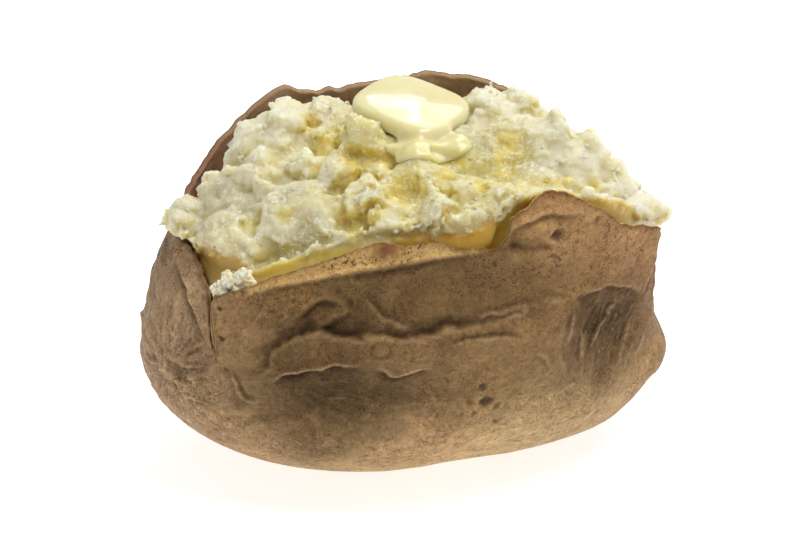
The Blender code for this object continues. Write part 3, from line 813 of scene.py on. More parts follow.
def eye_marks(points):
    """The eyes and scars: how far they sink the skin, and how dark they are."""
    x, y, z = points.T
    push, dark = np.zeros((2, len(points)))
    near_front = smoothstep(4, -4, y)
    for (eye_x, eye_z), radius, depth, darkness in EYES:
        wobble = 1 + 0.5 * perlin(points, radius * 1.1, 91)
        distance = np.hypot((x - eye_x) / 1.15, z - eye_z) / (radius * wobble)
        rim = 0.35 * abs(depth) * bell((distance - 1.35) / 0.4)
        push += (0.7 * depth * np.exp(-(distance**2) * 1.2) + rim) * near_front
        dark = np.maximum(dark, darkness * smoothstep(1.15, 0.45, distance) * near_front)
    ring = np.hypot((x - RING[0]) / 1.4, z - RING[1])
    return push - 0.35 * bell((ring - RING_RADIUS) / 0.35) * near_front, dark


def blur(grid, rounds):
    """Smooths values on the skin's grid, whose columns close on themselves."""
    for _ in range(rounds):
        grid = (np.roll(grid, 1, 1) + 2 * grid + np.roll(grid, -1, 1)) / 4
        padded = np.concatenate([grid[:1], grid, grid[-1:]])
        grid = (padded[:-2] + 2 * padded[1:-1] + padded[2:]) / 4
    return grid


def skin_rings():
    """The skin before its creases: rings from the bottom to the torn edge, their normals, and how
    far each point is below the edge."""
    angles = skin_angles()
    foot = around(BELLY, 3, angles)
    height = around(WALL, 1, angles) - foot
    share = (around(EDGE, 1, angles) - foot) / height
    edge = body(angles, 1 + share)
    ragged = 0.55 * perlin(edge, 3.0, 101) + 0.35 * perlin(edge, 1.1, 103)
    scab = bell((edge[:, 0] - SCAB_X) / 2.0) * (edge[:, 1] < 0)
    share = share + (ragged + 0.9 * scab) / height
    below = np.concatenate([BOTTOM_LEVELS, np.linspace(0.36, 1, BELOW_ROWS)])
    above = np.arange(1, ABOVE_ROWS + 1) / ABOVE_ROWS
    level = np.concatenate([below[:, None] + 0 * angles, 1 + above[:, None] * share])
    turned = angles + around(EDGE, 3, angles) * np.maximum(level - 1, 0)
    rings, normals = body(turned, level), body_normals(turned, level)
    up = np.concatenate([0 * below, above])[:, None] + 0 * angles
    push = big_fold_push(*np.moveaxis(rings, -1, 0)) + around(EDGE, 2, angles) * up**3
    far_below = 99 + 0 * level[: len(below)]
    edge_gap = np.concatenate([far_below, (1 - above[:, None]) * share * height])
    return rings + normals * push[..., None], normals, edge_gap


def skin_lift(points, edge_gap):
    """How far the creases, wrinkles, eyes and lip move the skin, and the marks that they leave."""
    x, y, z = points.T
    crease, crest, cast_shade = crease_push(points)
    relief, fine_crest = skin_relief(points)
    eyes, dark = eye_marks(points)
    bend, band = lip_bend(x, y, z)
    lift = crease + eyes + relief * smoothstep(0, 8, z) + bend
    # Near the torn edge the skin can't sink into the flesh.
    lift = np.where(lift < 0, lift * mix(0.35, 1, smoothstep(0, 4, edge_gap)), lift)
    scab = 0.9 * np.exp(-(((x - SCAB_X) / 2.3) ** 2) - (edge_gap / 2.2) ** 2) * (y < 0)
    lift += scab + 0.35 * bell(edge_gap / 0.8) * perlin(points, 1.6, 111)
    peak = np.exp(-(((x - PEAK_X) / 5) ** 2) - (edge_gap / 1.5) ** 2) * (y < 0)
    peak = peak * (1 + perlin(points, 1.5, 113))
    scabby = np.clip(scab * (1.5 + perlin(points, 1.0, 115)) + 0.6 * peak, 0, 1)
    return lift, dict(crest=crest, cast_shade=cast_shade, fine=fine_crest, dark=dark, band=band, scab=scabby)


def skin_looks(points, outside, count, edge_gap, lift, marks):
    """The skin's colours, with painted light and shade, and marks at its points, of which the first ones
    are its outside.
    """

    def spread_out(values):
        full = np.zeros(len(points))
        full[:outside] = values.ravel()
        return full

    # Below the blurred lift lie grooves and hollows, which get painted shade; above it ridges, which get
    # painted light.
    soft, broad = blur(lift, 5), blur(lift, 70)
    ridge = np.clip((lift - soft) / 0.22, 0, 1)
    shade = spread_out(np.clip((broad - lift) / 1.1, -1, 1))
    lip = slice(outside, outside + count)
    lining = np.zeros(len(points))
    lining[outside:] = 1
    lining[lip] = 0.25
    x, _, z = points.T
    sine = np.sin(np.radians(skin_angles()))
    back = tinted(INSIDE_BACK[0], INSIDE_BACK[1], smoothstep(-20, -45, x))
    back = tinted(back, INSIDE_BACK[2], smoothstep(10, 45, x))
    front = tinted(*INSIDE_FRONT, smoothstep(-36, -42, x))
    inside = tinted(back, front, np.resize(smoothstep(-0.1, -0.5, sine), len(points)))
    # The skin's tones, with painted shade in the front's hollows.
    tint = blend_anchors(points, SKIN_COLOURS_AND_SHADE, 1.4, 1e-6)
    # Painted shade in the broad hollows and painted light on the broad bulges.
    tint = tint * (1 - 0.34 * np.maximum(shade, 0) - 0.18 * np.minimum(shade, 0))[:, None]
    band = spread_out(marks["band"])
    # Painted light on the lip's band, which faces up.
    tint = tinted(tint, LIP_LIT_COLOUR, band)
    # Painted shadow beside the creases' steep sides, kept off the lip's band.
    tint = tint * (1 - 0.48 * spread_out(np.minimum(marks["cast_shade"], 1)) * (1 - band))[:, None]
    edge = spread_out(bell(edge_gap / 0.55))
    edge[lip] = 0.8
    speckle = 0.35 + 0.5 * bell((z - 58) / 8) + 0.3 * bell((z - 20) / 6)
    speckle = (speckle + 0.6 * spread_out(bell(edge_gap / 4))) * (1 - lining)
    crest = np.maximum(marks["crest"], 0.8 * marks["fine"] * ridge.ravel())
    return dict(
        tint=np.where(lining[:, None] > 0.9, inside, tint), lining=lining, edge=edge,
        speckle=np.clip(speckle, 0, 1), crest=spread_out(np.clip(crest, 0, 1)),
        groove_shade=spread_out(np.clip((soft - lift) / 0.32, 0, 1)), ridge=spread_out(ridge),
        dark=np.maximum(spread_out(marks["dark"]), 0), scab=spread_out(marks["scab"]),
    )


def add_skin():
    """The skin as one closed shell: outside, torn lip and inside."""
    rings, normals, edge_gap = skin_rings()
    lift, marks = skin_lift(rings.reshape(-1, 3), edge_gap.ravel())
    lift = lift.reshape(edge_gap.shape)
    outer = rings + normals * lift[..., None]
    outer[..., 2] = np.maximum(outer[..., 2], 0)
    lip = [outer[-1:] - normals[-1:] * depth + (0, 0, rise) for depth, rise in LIP_ROWS]
    rows = len(outer) - 1 - np.array(INNER_STEPS)
    deep = smoothstep(5, 14, edge_gap[rows])
    inner = outer[rows] - normals[rows] * (SKIN + 2.5 * deep)[..., None]
    inner[..., 2] = np.maximum(inner[..., 2], SKIN)
    shell = np.concatenate([outer, *lip, inner])
    points, quads, triangles = close_rings(shell, (0, 0, 0), (0, 0, SKIN))
    looks = skin_looks(points, edge_gap.size, outer.shape[1], edge_gap, lift, marks)
    return make_piece("potato_skin", points, quads, "skin", looks, triangles)


# ---------------------------------------------------------------- the flesh

FLESH_STEP = 0.455
FLESH_LOW, FLESH_HIGH = (-61.0, -43.0, 33.0), (61.0, 43.0, 84.0)
SHOULDER_RISE = 3.5
# How far the heap's wall leans in: everywhere, more at its top, and more still there at the front.
LEAN, LEAN_TOP, LEAN_FRONT = 0.3, 0.6, 1.6
BUTTER_HALF = (12.3, 10.5, 2.3)
BUTTER_PLACE = np.array((5.0, 14.0, 78.4))
BUTTER_SPIN = math.radians(-46)
BUTTER_TILT = Euler((math.radians(6), math.radians(2), 0))

# Height from which clumps hang out past the peeled wall, how steeply and how far, and how far the
# heap stays in from the skin below that, by angle.
CLEAR = (
    (0, 53.5, 1.6, 0), (30, 63.5, 0.8, 0), (60, 82.0, 0.8, 2.5), (85, 82.0, 0.8, 4.0),
    (115, 80.0, 0.8, 4.5), (131, 76.0, 0.8, 5.0), (150, 66.0, 0.8, 5.0), (162, 57.0, 1.0, 3.0),
    (172, 54.5, 1.4, 0), (182, 56.0, 1.0, 0), (189, 57.6, 0.6, 0), (200, 59.0, 0.5, 0),
    (209, 59.4, 0.5, 0), (218, 59.6, 0.5, 0), (225, 60.6, 0.5, 0), (232, 61.4, 0.5, 0),
    (240, 62.3, 0.6, 0), (250, 63.3, 0.6, 0), (260, 64.0, 0.6, 0), (270, 64.4, 0.6, 0),
    (280, 65.2, 0.6, 0), (285, 65.4, 0.6, 0), (289, 66.9, 0.6, 0), (294, 68.6, 0.6, 0),
    (298, 69.8, 0.6, 0), (301, 71.4, 0.6, 0), (310, 74.0, 0.6, 0), (316, 71.4, 0.6, 0),
    (322, 69.8, 0.6, 0), (330, 67.2, 0.7, 0), (337, 63.2, 1.2, 0), (342, 57.5, 1.6, 0),
    (349, 53.0, 2.2, 0),
)

# Clumps that can be told apart on the heap, and the pits between them: a point in front of or
# behind each, along the way the heap is looked at, and its radius in mm.
CLUMPS = (
    (-24, 17, 74.6, 5.5), (-30, 14, 71.6, 4.5), (-26, 12, 72.2, 5.0), (-18.4, 14, 70, 3.9),
    (-5.5, 16, 70, 4.5), (-12.7, 30, 70, 4.6), (-9.6, 40, 70, 2.8), (-22.2, 0, 70, 5.4),
    (-14.2, -3.6, 70, 4.8), (-9.4, -15, 70, 4.2), (-5.6, -5, 70, 4.0), (-30.8, -24.7, 70, 4.6),
    (-38.7, 11.2, 70, 2.8), (-41.7, -5.3, 70, 4.6), (-48.2, 4.5, 62, 3.0), (-7.2, -27.4, 70, 3.2),
    (-19.9, -31.3, 70, 2.4), (23.7, 39.4, 70, 2.8), (31.8, 30, 70, 2.4), (24.5, 25.6, 70, 3.2),
    (20.5, 6.7, 70, 3.4), (16, 11.8, 70, 3.2),
    (34.3, 4.2, 70, 6.4), (42.1, 0, 70, 4.4), (47.1, -7, 70, 2.8), (45.8, -17.2, 70, 3.2),
    (5.8, -24.5, 70, 5.0), (20.5, -18.3, 70, 3.0), (4.5, -12, 70, 4.6), (11.8, -16.7, 70, 3.4),
    (-33.6, -10.2, 70, 3.6), (-34.3, 2, 70, 3.4), (-29.8, 8.6, 70, 3.2), (-22.9, -19.4, 70, 3.4),
    (-0.9, -29.5, 70, 3.0), (12.4, -25.2, 70, 2.6), (35.7, 18, 70, 2.8), (35, -15.3, 70, 2.2),
    (37.5, -19.8, 70, 2.4),
)
PITS = (
    (-16.8, 25.4, 70, 1.7), (-12.8, 13.6, 70, 2.5), (-9.8, 6.1, 70, 1.9), (-6.4, 5, 70, 2.2),
    (-2.8, 3.3, 70, 2.0), (-18.1, 2.3, 70, 1.3), (-10, -2.2, 70, 1.6), (-0.7, -10, 70, 2.8),
    (-14.9, -23.2, 70, 1.9), (-10.5, -24, 70, 2.0), (-26.4, 10.1, 70, 1.4),
    (-29.2, -18.3, 70, 1.7), (-35.8, -20.5, 70, 2.2), (-14.8, -30.8, 70, 1.5),
    (-22.9, -36.2, 70, 1.1), (26.4, 9.5, 70, 2.5), (25.6, 3.6, 70, 2.9), (22.8, -2.8, 70, 2.3),
    (9.4, 5.4, 70, 1.7), (11.8, 3.9, 70, 1.8), (14.2, 1.9, 70, 1.6), (25.8, -12.7, 70, 2.2),
    (28, -13.6, 70, 2.5), (30.8, -13, 70, 2.2), (35.2, -12.8, 70, 1.0), (41.3, -15.4, 70, 1.2),
    (8.9, -5.6, 70, 1.4), (15.2, -11.8, 70, 1.5),
)
# The broad clump at the left, which has no smaller ones on it.
SMOOTH_SLAB = (np.array((-25.0, 15.0, 73.0)), 8.5)
# Middle of the melted butter that lies on the heap in front of the pat, its half size, how far round
# it the heap is smooth, and where it has no small clumps.
PUDDLE = np.array((5.5, -1.5, 76.0))
PUDDLE_HALF, SMOOTH_HALF, BARE_HALF = (11.0, 5.5, 4.5), (13, 7, 7), (12, 8, 7)
VIEWED_FROM = np.array((-0.15, -0.87, 0.47))
# How many small clumps lie on the heap and along its rim, and the height where they start.
SMALL_CLUMPS, RIM_CLUMPS, CLUMPS_FROM = 420, 330, 52
# The heap's flat underside: its height in the middle, and how far below the torn edge it is outside.
HEAP_FLOOR, UNDER_EDGE = 48.0, 4.5
LOOSE_GRAINS = 160
# The clot on the flap's torn corner: its middle, how many lumps, and half the box it fits in.
CLOT_PLACE, CLOT_LUMPS, CLOT_BOX = np.array((-40.0, -19.6, 54.9)), 34, 7.5

# The heap's colours: place, where it bulges, where it is hollow (darker and yellower, as painted shade),
# spread in mm.
FLESH_COLOURS_AND_SHADE = (
    ((-28, 14, 72), (0.75, 0.72, 0.51), (0.72, 0.65, 0.34), 9),
    ((-44, 2, 63), (0.56, 0.51, 0.34), (0.56, 0.49, 0.22), 8),
    ((-25, -8, 65), (0.56, 0.515, 0.33), (0.57, 0.49, 0.19), 8),
    ((-34, -12, 61), (0.68, 0.62, 0.38), (0.6, 0.5, 0.17), 6),
    ((-8, -12, 69), (0.66, 0.59, 0.27), (0.62, 0.51, 0.13), 7),
    ((-10, 8, 73), (0.7, 0.63, 0.27), (0.64, 0.52, 0.1), 7),
    ((8, -10, 71), (0.68, 0.61, 0.27), (0.64, 0.52, 0.13), 8),
    ((20, -4, 73), (0.45, 0.38, 0.12), (0.45, 0.36, 0.06), 7),
    ((20, -16, 70), (0.68, 0.6, 0.26), (0.6, 0.48, 0.1), 6),
    ((17, -9, 72), (0.44, 0.38, 0.11), (0.44, 0.35, 0.06), 5),
    ((27, 12, 78), (0.76, 0.73, 0.55), (0.68, 0.6, 0.26), 8),
    ((36, -4, 73), (0.69, 0.66, 0.49), (0.63, 0.55, 0.24), 7),
    ((47, -6, 64), (0.76, 0.73, 0.58), (0.7, 0.62, 0.31), 8),
    ((40, 14, 68), (0.72, 0.69, 0.53), (0.66, 0.58, 0.25), 10),
    ((0, 26, 74), (0.7, 0.66, 0.45), (0.62, 0.52, 0.18), 10),
)
# Painted light: the whiter colour given to bulges and clumps.
LIT_LUMP_COLOUR = (0.68, 0.66, 0.50)
# Colours of the peeled wall: in the notch at the left, next to it, at the middle and at the right.
NOTCH_WALL, LINING, RIM_WALL = (0.55, 0.35, 0.072), (0.66, 0.52, 0.11), (0.82, 0.51, 0.08)
RIGHT_WALL = (0.54, 0.39, 0.060)
# Colours of the pits, painted in as shade, at the left and elsewhere.
GOLD = ((0.68, 0.62, 0.27), (0.73, 0.59, 0.14))
DEEP_FLESH, CLOT = (0.80, 0.72, 0.42), (0.86, 0.84, 0.70)


def butter_plan(x, y, z):
    """Points in the butter's own frame, in mm: along its two sides, up, and towards the back."""
    axes = np.array(BUTTER_TILT.to_matrix()).T
    dx, dy, dz = x - BUTTER_PLACE[0], y - BUTTER_PLACE[1], z - BUTTER_PLACE[2]
    a, b, c = (dx * axis[0] + dy * axis[1] + dz * axis[2] for axis in axes)
    cosine, sine = math.cos(BUTTER_SPIN), math.sin(BUTTER_SPIN)
    return a * cosine + b * sine, b * cosine - a * sine, c, b


def flesh_field():
    """Samples the heap's smooth form; also gives the limit that the skin sets it, and the height
    from which it is clear of the skin."""
    field = Field(FLESH_LOW, FLESH_HIGH, FLESH_STEP)
    x, y, z = field.grids()
    angle, ring = plan_angle(x, y)
    foot, top, edge = around(BELLY, 3, angle), around(WALL, 1, angle), around(EDGE, 1, angle)
    over = np.clip((z - foot) / (top - foot), 0, 1.02)
    wall_ring = around(BELLY, 1, angle) * (1 - (1 - around(WALL, 2, angle)) * over**2)
    size = np.hypot(x, y) / np.maximum(ring, 1e-6)
    wall = ((ring - wall_ring) * size).astype(np.float32)
    scale = wall_ring / np.maximum(ring, 1e-6)
    push = big_fold_push(x * scale, y * scale, z + 0 * wall).astype(np.float32)
    sine = np.sin(np.radians(angle))
    at_front = smoothstep(0.0, -0.5, sine) * np.where(angle < 270, smoothstep(224, 244, angle), 1)
    lean = LEAN + (LEAN_TOP + LEAN_FRONT * at_front) * smoothstep(-0.2, 1.0, over)
    wall = wall - push + (SKIN + GAP + lean)
    clear, steep, inset = (around(CLEAR, column, angle) for column in (1, 2, 3))
    hidden = np.clip(edge - 1.5 - z, 0, 5)
    inset = inset * smoothstep(edge - 10, edge - 3, z)
    hang = np.minimum(steep * np.maximum(0, z - clear), 7 * steep)
    limit = (wall - hang + 0.6 * hidden + inset).astype(np.float32)
    rise = SHOULDER_RISE * (2 * smoothstep(0.2, -0.4, sine) - 1)
    shoulder = top + rise - 1.0
    behind_flap = smoothstep(300, 310, angle) * smoothstep(356, 348, angle) * smoothstep(0.55, 0.8, ring)
    shoulder = mix(shoulder, np.maximum(shoulder, clear + 0.6), behind_flap)
    field.values = (z - shoulder + 0 * limit).astype(np.float32)
    field.bend_space(((6, 1.5), (3, 0.8)))
    for *place, radius in BIG_LUMPS:
        field.add_ball(place, radius, 1.6)
    field.values += 0.5
    return field, limit, clear


def on_heap(field, marks):
    """Moves marks along the way the heap is looked at until they lie on its surface."""
    steps = np.linspace(24, -24, 193)
    moved = []
    for *place, radius in marks:
        path = np.array(place, float) + VIEWED_FROM * steps[:, None]
        inside = np.flatnonzero(field.sample(path) < 0)
        if len(inside):
            moved.append((*path[inside[0]], radius))
    return np.array(moved)


def add_clumps(field, random):
    """Pits, then clumps: first those listed, then many smaller ones over the whole heap."""
    pits, clumps = on_heap(field, PITS), on_heap(field, CLUMPS)
    for *place, radius in pits:
        field.add_ball(place + VIEWED_FROM * 0.75 * radius, 1.45 * radius, 1.0, (1.2, 1.0, 0.9), cut=True)
    for *place, radius in clumps:
        sink = mix(0.78, 0.90, smoothstep(14, 26, place[0]) * smoothstep(-18, -8, place[1]))
        field.add_chunk(place - VIEWED_FROM * sink * radius, radius, 0.9, (1.15, 1.0, 0.9), random)
    near = np.argwhere(abs(field.values) < 0.45)
    near = near[near[:, 2] * field.step + field.low[2] > CLUMPS_FROM]
    for pick in near[random.choice(len(near), SMALL_CLUMPS, replace=False)]:
        place = field.low + pick * field.step
        stretch = tuple(random.uniform(0.55, 1.45, 3))
        radius = random.uniform(0.9, 2.2)
        depth = random.uniform(0.70, 0.95) * radius * stretch[2]
        gap = np.linalg.norm(place - pits[:, :3], axis=-1) - 1.15 * pits[:, 3]
        on_slab = np.linalg.norm(place - SMOOTH_SLAB[0]) < SMOOTH_SLAB[1]
        in_puddle = np.linalg.norm((place - PUDDLE) / BARE_HALF) < 1
        if gap.min() > 0.5 * radius and not (on_slab or in_puddle):
            field.add_chunk(place + (0, 0.4 * depth, -0.9 * depth), radius, 0.25, stretch, random)
    # The narrowest cracks fill up.
    for axis in range(3):
        sides = np.roll(field.values, -1, axis) + np.roll(field.values, 1, axis)
        field.values = (0.5 * field.values + 0.25 * sides).astype(np.float32)
    return pits, clumps


def add_fringe(field, limit, clear, random):
    """Small clumps along the rim of the heap, which make its outline ragged."""
    heights = field.low[2] + np.arange(field.shape[2]) * field.step
    near = np.argwhere((abs(field.values) < 0.4) & (abs(limit + 0.5) < 0.9) & (heights > clear - 1.0))
    for pick in near[random.choice(len(near), RIM_CLUMPS, replace=False)]:
        radius = random.uniform(0.5, 0.95)
        centre = field.low + pick * field.step - (0, 0, 0.6 * radius)
        field.add_chunk(centre, radius, 0.3, random.uniform(0.85, 1.15, 3), random)


def roughen(field, share):
    """Breaks the surface into crumbs, in a thin layer either side of it."""
    band = abs(field.values) < 1.7
    points = field.points(band)
    warped = points + 1.2 * np.stack([perlin(points, 3.0, 200 + k) for k in range(3)], -1)
    crumbs = 0.30 * fbm(points, 9.0, 2, 241) + 0.24 * perlin(points, 1.1, 243)
    for size, crack, round_off, step, seed in (
        (7.0, 0.20, 0.30, 0.24, 211), (2.8, 0.14, 0.28, 0.26, 223), (1.3, 0.04, 0.36, 0.22, 227)
    ):
        first, second, name = worley(warped, size, seed)
        crumbs += round_off * (0.55 - first) + step * (name - 0.5)
        crumbs += crack * (smoothstep(0.0, 0.3, second - first) - 0.7)
    field.values[band] -= (crumbs * share[band]).astype(np.float32)


def seat_for_butter(field):
    """Cuts the heap flat below the pat, so that the butter lies on it."""
    a, b, c, _ = butter_plan(*field.grids())
    inside = np.maximum(abs(a) / BUTTER_HALF[0], abs(b) / BUTTER_HALF[1])
    seat = c + BUTTER_HALF[2] + 0.2
    cut = soft_max(field.values, -soft_max((inside - 0.96) * 12, -seat, 1.0), 0.6)
    field.values = cut.astype(np.float32)


def heap_floor(x, y):
    """Height of the heap's hidden flat underside."""
    angle, ring = plan_angle(x, y)
    return np.where(ring < 0.7, HEAP_FLOOR, around(EDGE, 1, angle) - UNDER_EDGE)


def build_flesh(random):
    """The visible heap, down to a little below the torn edge, and the fields behind it."""
    field, limit, clear = flesh_field()
    marks = add_clumps(field, random)
    smooth_heap = field.values.copy()
    x, y, z = field.grids()
    wall_share = smoothstep(-1.5, 0.3, limit - field.values) * smoothstep(clear + 1.5, clear - 1.5, z)
    wall_share = wall_share * smoothstep(14, 4, y)
    melt = smoothstep(1.1, 0.9, from_centre((x, y, z), PUDDLE, SMOOTH_HALF))
    smooth_share = np.maximum(wall_share, melt).astype(np.float32)
    field.values = soft_max(field.values, limit, 0.7).astype(np.float32)
    add_fringe(field, limit, clear, random)
    roughen(field, 1 - 0.93 * smooth_share)
    seat_for_butter(field)
    field.values = np.maximum(field.values, heap_floor(x, y) - z)
    return field, limit, smooth_heap, marks, *field.surface(400, 1, 0.35)


def near_marks(points, marks, reach):
    """How near points are to one of the marks, up to 1."""
    near = np.zeros(len(points))
    for *place, radius in marks:
        gap = np.linalg.norm(points - place, axis=-1) / (reach * radius)
        near = np.maximum(near, np.exp(-(gap**4)))
    return near


def flesh_looks(field, limit, points, normals, pits, clumps):
    """Colour with painted light and shade, hollows, wetness and peeled wall of the heap at its points."""
    closed, bulge = np.zeros((2, len(points)))
    for reach in (2.2, 4.0, 6.5):
        closed += np.clip(1 - field.sample(points + normals * reach) / reach, 0, 1.6) / 3
        bulge += np.clip(1 + field.sample(points - normals * reach) / reach, 0, 1.2) / 3
    cavity = smoothstep(0.30, 0.95, closed)
    bulge = smoothstep(0.05, 0.60, bulge) * (1 - cavity)
    wall = smoothstep(-1.6, -0.6, field.sample(points, limit))
    x, y, z = points.T
    low = smoothstep(1.0, -1.5, z - around(CLEAR, 1, plan_angle(x, y)[0]))
    peeled = wall * np.maximum(low, 0.12) * smoothstep(14, 4, y)
    pale, deep = np.split(blend_anchors(points, FLESH_COLOURS_AND_SHADE, 1.3, 1e-9), 2, axis=1)
    patch = smoothstep(-0.5, 0.6, perlin(points, 7, 301) + 0.6 * perlin(points, 3, 303))
    colour = tinted(pale, deep, 0.30 * patch)
    soaked = np.linalg.norm((points - BUTTER_PLACE + (0, 7, 3)) / (20, 17, 11), axis=-1)
    soaked = smoothstep(1.3, 0.6, soaked)
    lump = near_marks(points, clumps, 0.95)
    # Painted light: bulges and clumps whiter, less so where soaked.
    whiter = (0.5 * bulge + 0.35 * lump * (1 - cavity)) * (1 - 0.75 * soaked)
    colour = tinted(colour, LIT_LUMP_COLOUR, np.minimum(whiter, 0.8))
    # Painted shade: hollows move towards the darker, yellower colour.
    colour = tinted(colour, deep, cavity * mix(0.8, 1.0, patch))
    tan = tinted(NOTCH_WALL, LINING, smoothstep(-38, -30, x))
    tan = tinted(tan, RIM_WALL, smoothstep(-6, 0, x) * smoothstep(20, 14, x))
    tan = tinted(tan, RIGHT_WALL, smoothstep(16, 24, x))
    colour = tinted(colour, tan, 0.95 * peeled)
    # Painted shade in the pits: golden where they are closed in.
    golden = near_marks(points, pits, 1.5) * (smoothstep(0.05, 0.30, closed) * (1 - peeled))
    colour = tinted(colour, tinted(*GOLD, smoothstep(-32, -18, x)), 0.9 * golden)
    wet = np.clip(0.2 + 0.8 * soaked + 0.2 * perlin(points, 8, 307), 0, 1) * (1 - 0.3 * peeled)
    return colour, cavity, wet, peeled


def add_flesh(random):
    """The heap, and what the crumbs and the butter need to know of it."""
    field, limit, smooth_heap, marks, points, quads = build_flesh(random)
    normals = vertex_normals(points, quads)
    looks = flesh_looks(field, limit, points, normals, *marks)
    hidden = points[:, 2] < heap_floor(*points[:, :2].T) + 1.2
    kept, seen_quads, triangles = merge_hidden(points, quads, hidden, 2.5)
    colour, _, wet, peeled = (values[kept] for values in looks)
    shown = dict(tint=colour, wet=wet, peeled=peeled)
    heap = make_piece("flesh_heap", points[kept], seen_quads, "flesh", shown, triangles)
    return heap, field, smooth_heap, points, normals, looks


def add_flesh_base():
    """The plain lower flesh, hidden by the skin."""
    angles = np.linspace(0, 360, 72, endpoint=False)
    foot = around(BELLY, 3, angles)
    height = around(WALL, 1, angles) - foot
    share = np.minimum(around(EDGE, 1, angles) - 5 - foot, 30) / height
    below, above = np.linspace(0.12, 1, 10)[:, None], np.linspace(0.2, 1, 6)[:, None]
    level = np.concatenate([below + 0 * angles, 1 + above * share])
    rings, normals = body(angles, level), body_normals(angles, level)
    push = big_fold_push(*np.moveaxis(rings, -1, 0))
    rings = rings + normals * (push - SKIN - GAP - 7.0)[..., None]
    rings[..., 2] = np.maximum(rings[..., 2], 2 * SKIN)
    top = (0, 0, float(rings[-1, :, 2].mean()))
    points, quads, triangles = close_rings(rings, (0, 0, SKIN + GAP), top)
    looks = dict(tint=np.tile(DEEP_FLESH, (len(points), 1)))
    return make_piece("flesh_base", points, quads, "flesh", looks, triangles)


def icosphere():
    """A small ball of 42 points and 80 triangles, of radius 1."""
    golden = (1 + 5**0.5) / 2
    points = [(-1, golden, 0), (1, golden, 0), (-1, -golden, 0), (1, -golden, 0)]
    points += [(0, -1, golden), (0, 1, golden), (0, -1, -golden), (0, 1, -golden)]
    points += [(golden, 0, -1), (golden, 0, 1), (-golden, 0, -1), (-golden, 0, 1)]
    faces = [(0, 11, 5), (0, 5, 1), (0, 1, 7), (0, 7, 10), (0, 10, 11), (1, 5, 9), (5, 11, 4)]
    faces += [(11, 10, 2), (10, 7, 6), (7, 1, 8), (3, 9, 4), (3, 4, 2), (3, 2, 6), (3, 6, 8)]
    faces += [(3, 8, 9), (4, 9, 5), (2, 4, 11), (6, 2, 10), (8, 6, 7), (9, 8, 1)]
    middles, split = {}, []

    def middle(a, b):
        key = (min(a, b), max(a, b))
        if key not in middles:
            points.append(tuple((np.array(points[a]) + np.array(points[b])) / 2))
            middles[key] = len(points) - 1
        return middles[key]

    for a, b, c in faces:
        ab, bc, ca = middle(a, b), middle(b, c), middle(c, a)
        split += [(a, ab, ca), (b, bc, ab), (c, ca, bc), (ab, bc, ca)]
    return unit(np.array(points)), np.array(split)


def uneven_grains(places, sizes, random):
    """Small grains: their points and triangles, and the place that each point belongs to."""
    ball, faces = icosphere()
    count, each = len(places), len(ball)
    points, owner = np.tile(ball, (count, 1)), np.repeat(np.arange(count), each)
    stretch = random.uniform(0.75, 1.2, (count, 3))
    bump = 1 + 0.5 * perlin(points * 1.4 + random.uniform(0, 90, (count, 3))[owner], 1.0, 401)
    points = points * bump[:, None] * stretch[owner] * sizes[owner, None] + places[owner]
    triangles = (faces[None] + (np.arange(count) * each)[:, None, None]).reshape(-1, 3)
    return points, triangles, owner


def add_crumbs(points, normals, looks, random):
    """Loose grains on the heap, mostly where it stands out."""
    colour, cavity, wet, peeled = looks
    shown = (points[:, 2] > around(EDGE, 1, plan_angle(*points[:, :2].T)[0]) + 0.5) & (peeled < 0.3)
    a, b, c, _ = butter_plan(*points.T)
    clear = ~((abs(a) < 12.5) & (abs(b) < 11) & (c > -6))
    weight = shown * clear * (1.15 - cavity) * (1.1 - 0.6 * wet) * (normals[:, 2] > -0.4)
    picks = random.choice(len(points), LOOSE_GRAINS, replace=False, p=weight / weight.sum())
    sizes = random.uniform(0.35, 0.75, len(picks))
    places = points[picks] - normals[picks] * sizes[:, None] * 0.6
    tint = colour[picks] * random.uniform(0.94, 1.02, (len(picks), 1))
    grains, triangles, owner = uneven_grains(places, sizes, random)
    looks = dict(tint=np.minimum(tint, 0.92)[owner], wet=wet[picks][owner])
    return make_piece("flesh_crumbs", grains, [], "flesh", looks, triangles)


def add_flap_crumb(random):
    """A clot of flesh stuck to the torn corner of the front flap."""
    field = Field(CLOT_PLACE - CLOT_BOX, CLOT_PLACE + CLOT_BOX, 0.25)
    turn = Euler((0, math.radians(-28), math.radians(-14))).to_matrix()
    for _ in range(CLOT_LUMPS):
        a, b, c = random.uniform(-1, 1, 3)
        place = Vector((4.3 * a, 1.5 * b, (2.4 - 0.8 * abs(a)) * c))
        radius = random.uniform(0.7, 1.5) * (1.2 - 0.4 * abs(a))
        field.add_ball(CLOT_PLACE + np.array(turn @ place), radius, 0.35)
    band = abs(field.values) < 1.5
    near = field.points(band)
    first, second, name = worley(near, 1.3, 411)
    crumbs = 0.4 * (smoothstep(0, 0.4, second - first) - 0.5) + 0.3 * (name - 0.5)
    field.values[band] -= (crumbs + 0.12 * perlin(near, 0.7, 413)).astype(np.float32)
    points, quads = field.surface(30, 0, 0)
    looks = dict(tint=tinted(CLOT, DEEP_FLESH, smoothstep(-0.2, 0.6, perlin(points, 3, 421))))
    return make_piece("corner_crumb", points, quads, "flap_crumb", looks)


# ---------------------------------------------------------------- the butter

# How square the pat is: 2 is round, and higher is squarer.
SQUARENESS = 3.4
BUTTER_COLOUR, THIN_COLOUR = (0.78, 0.73, 0.45), (0.77, 0.70, 0.38)


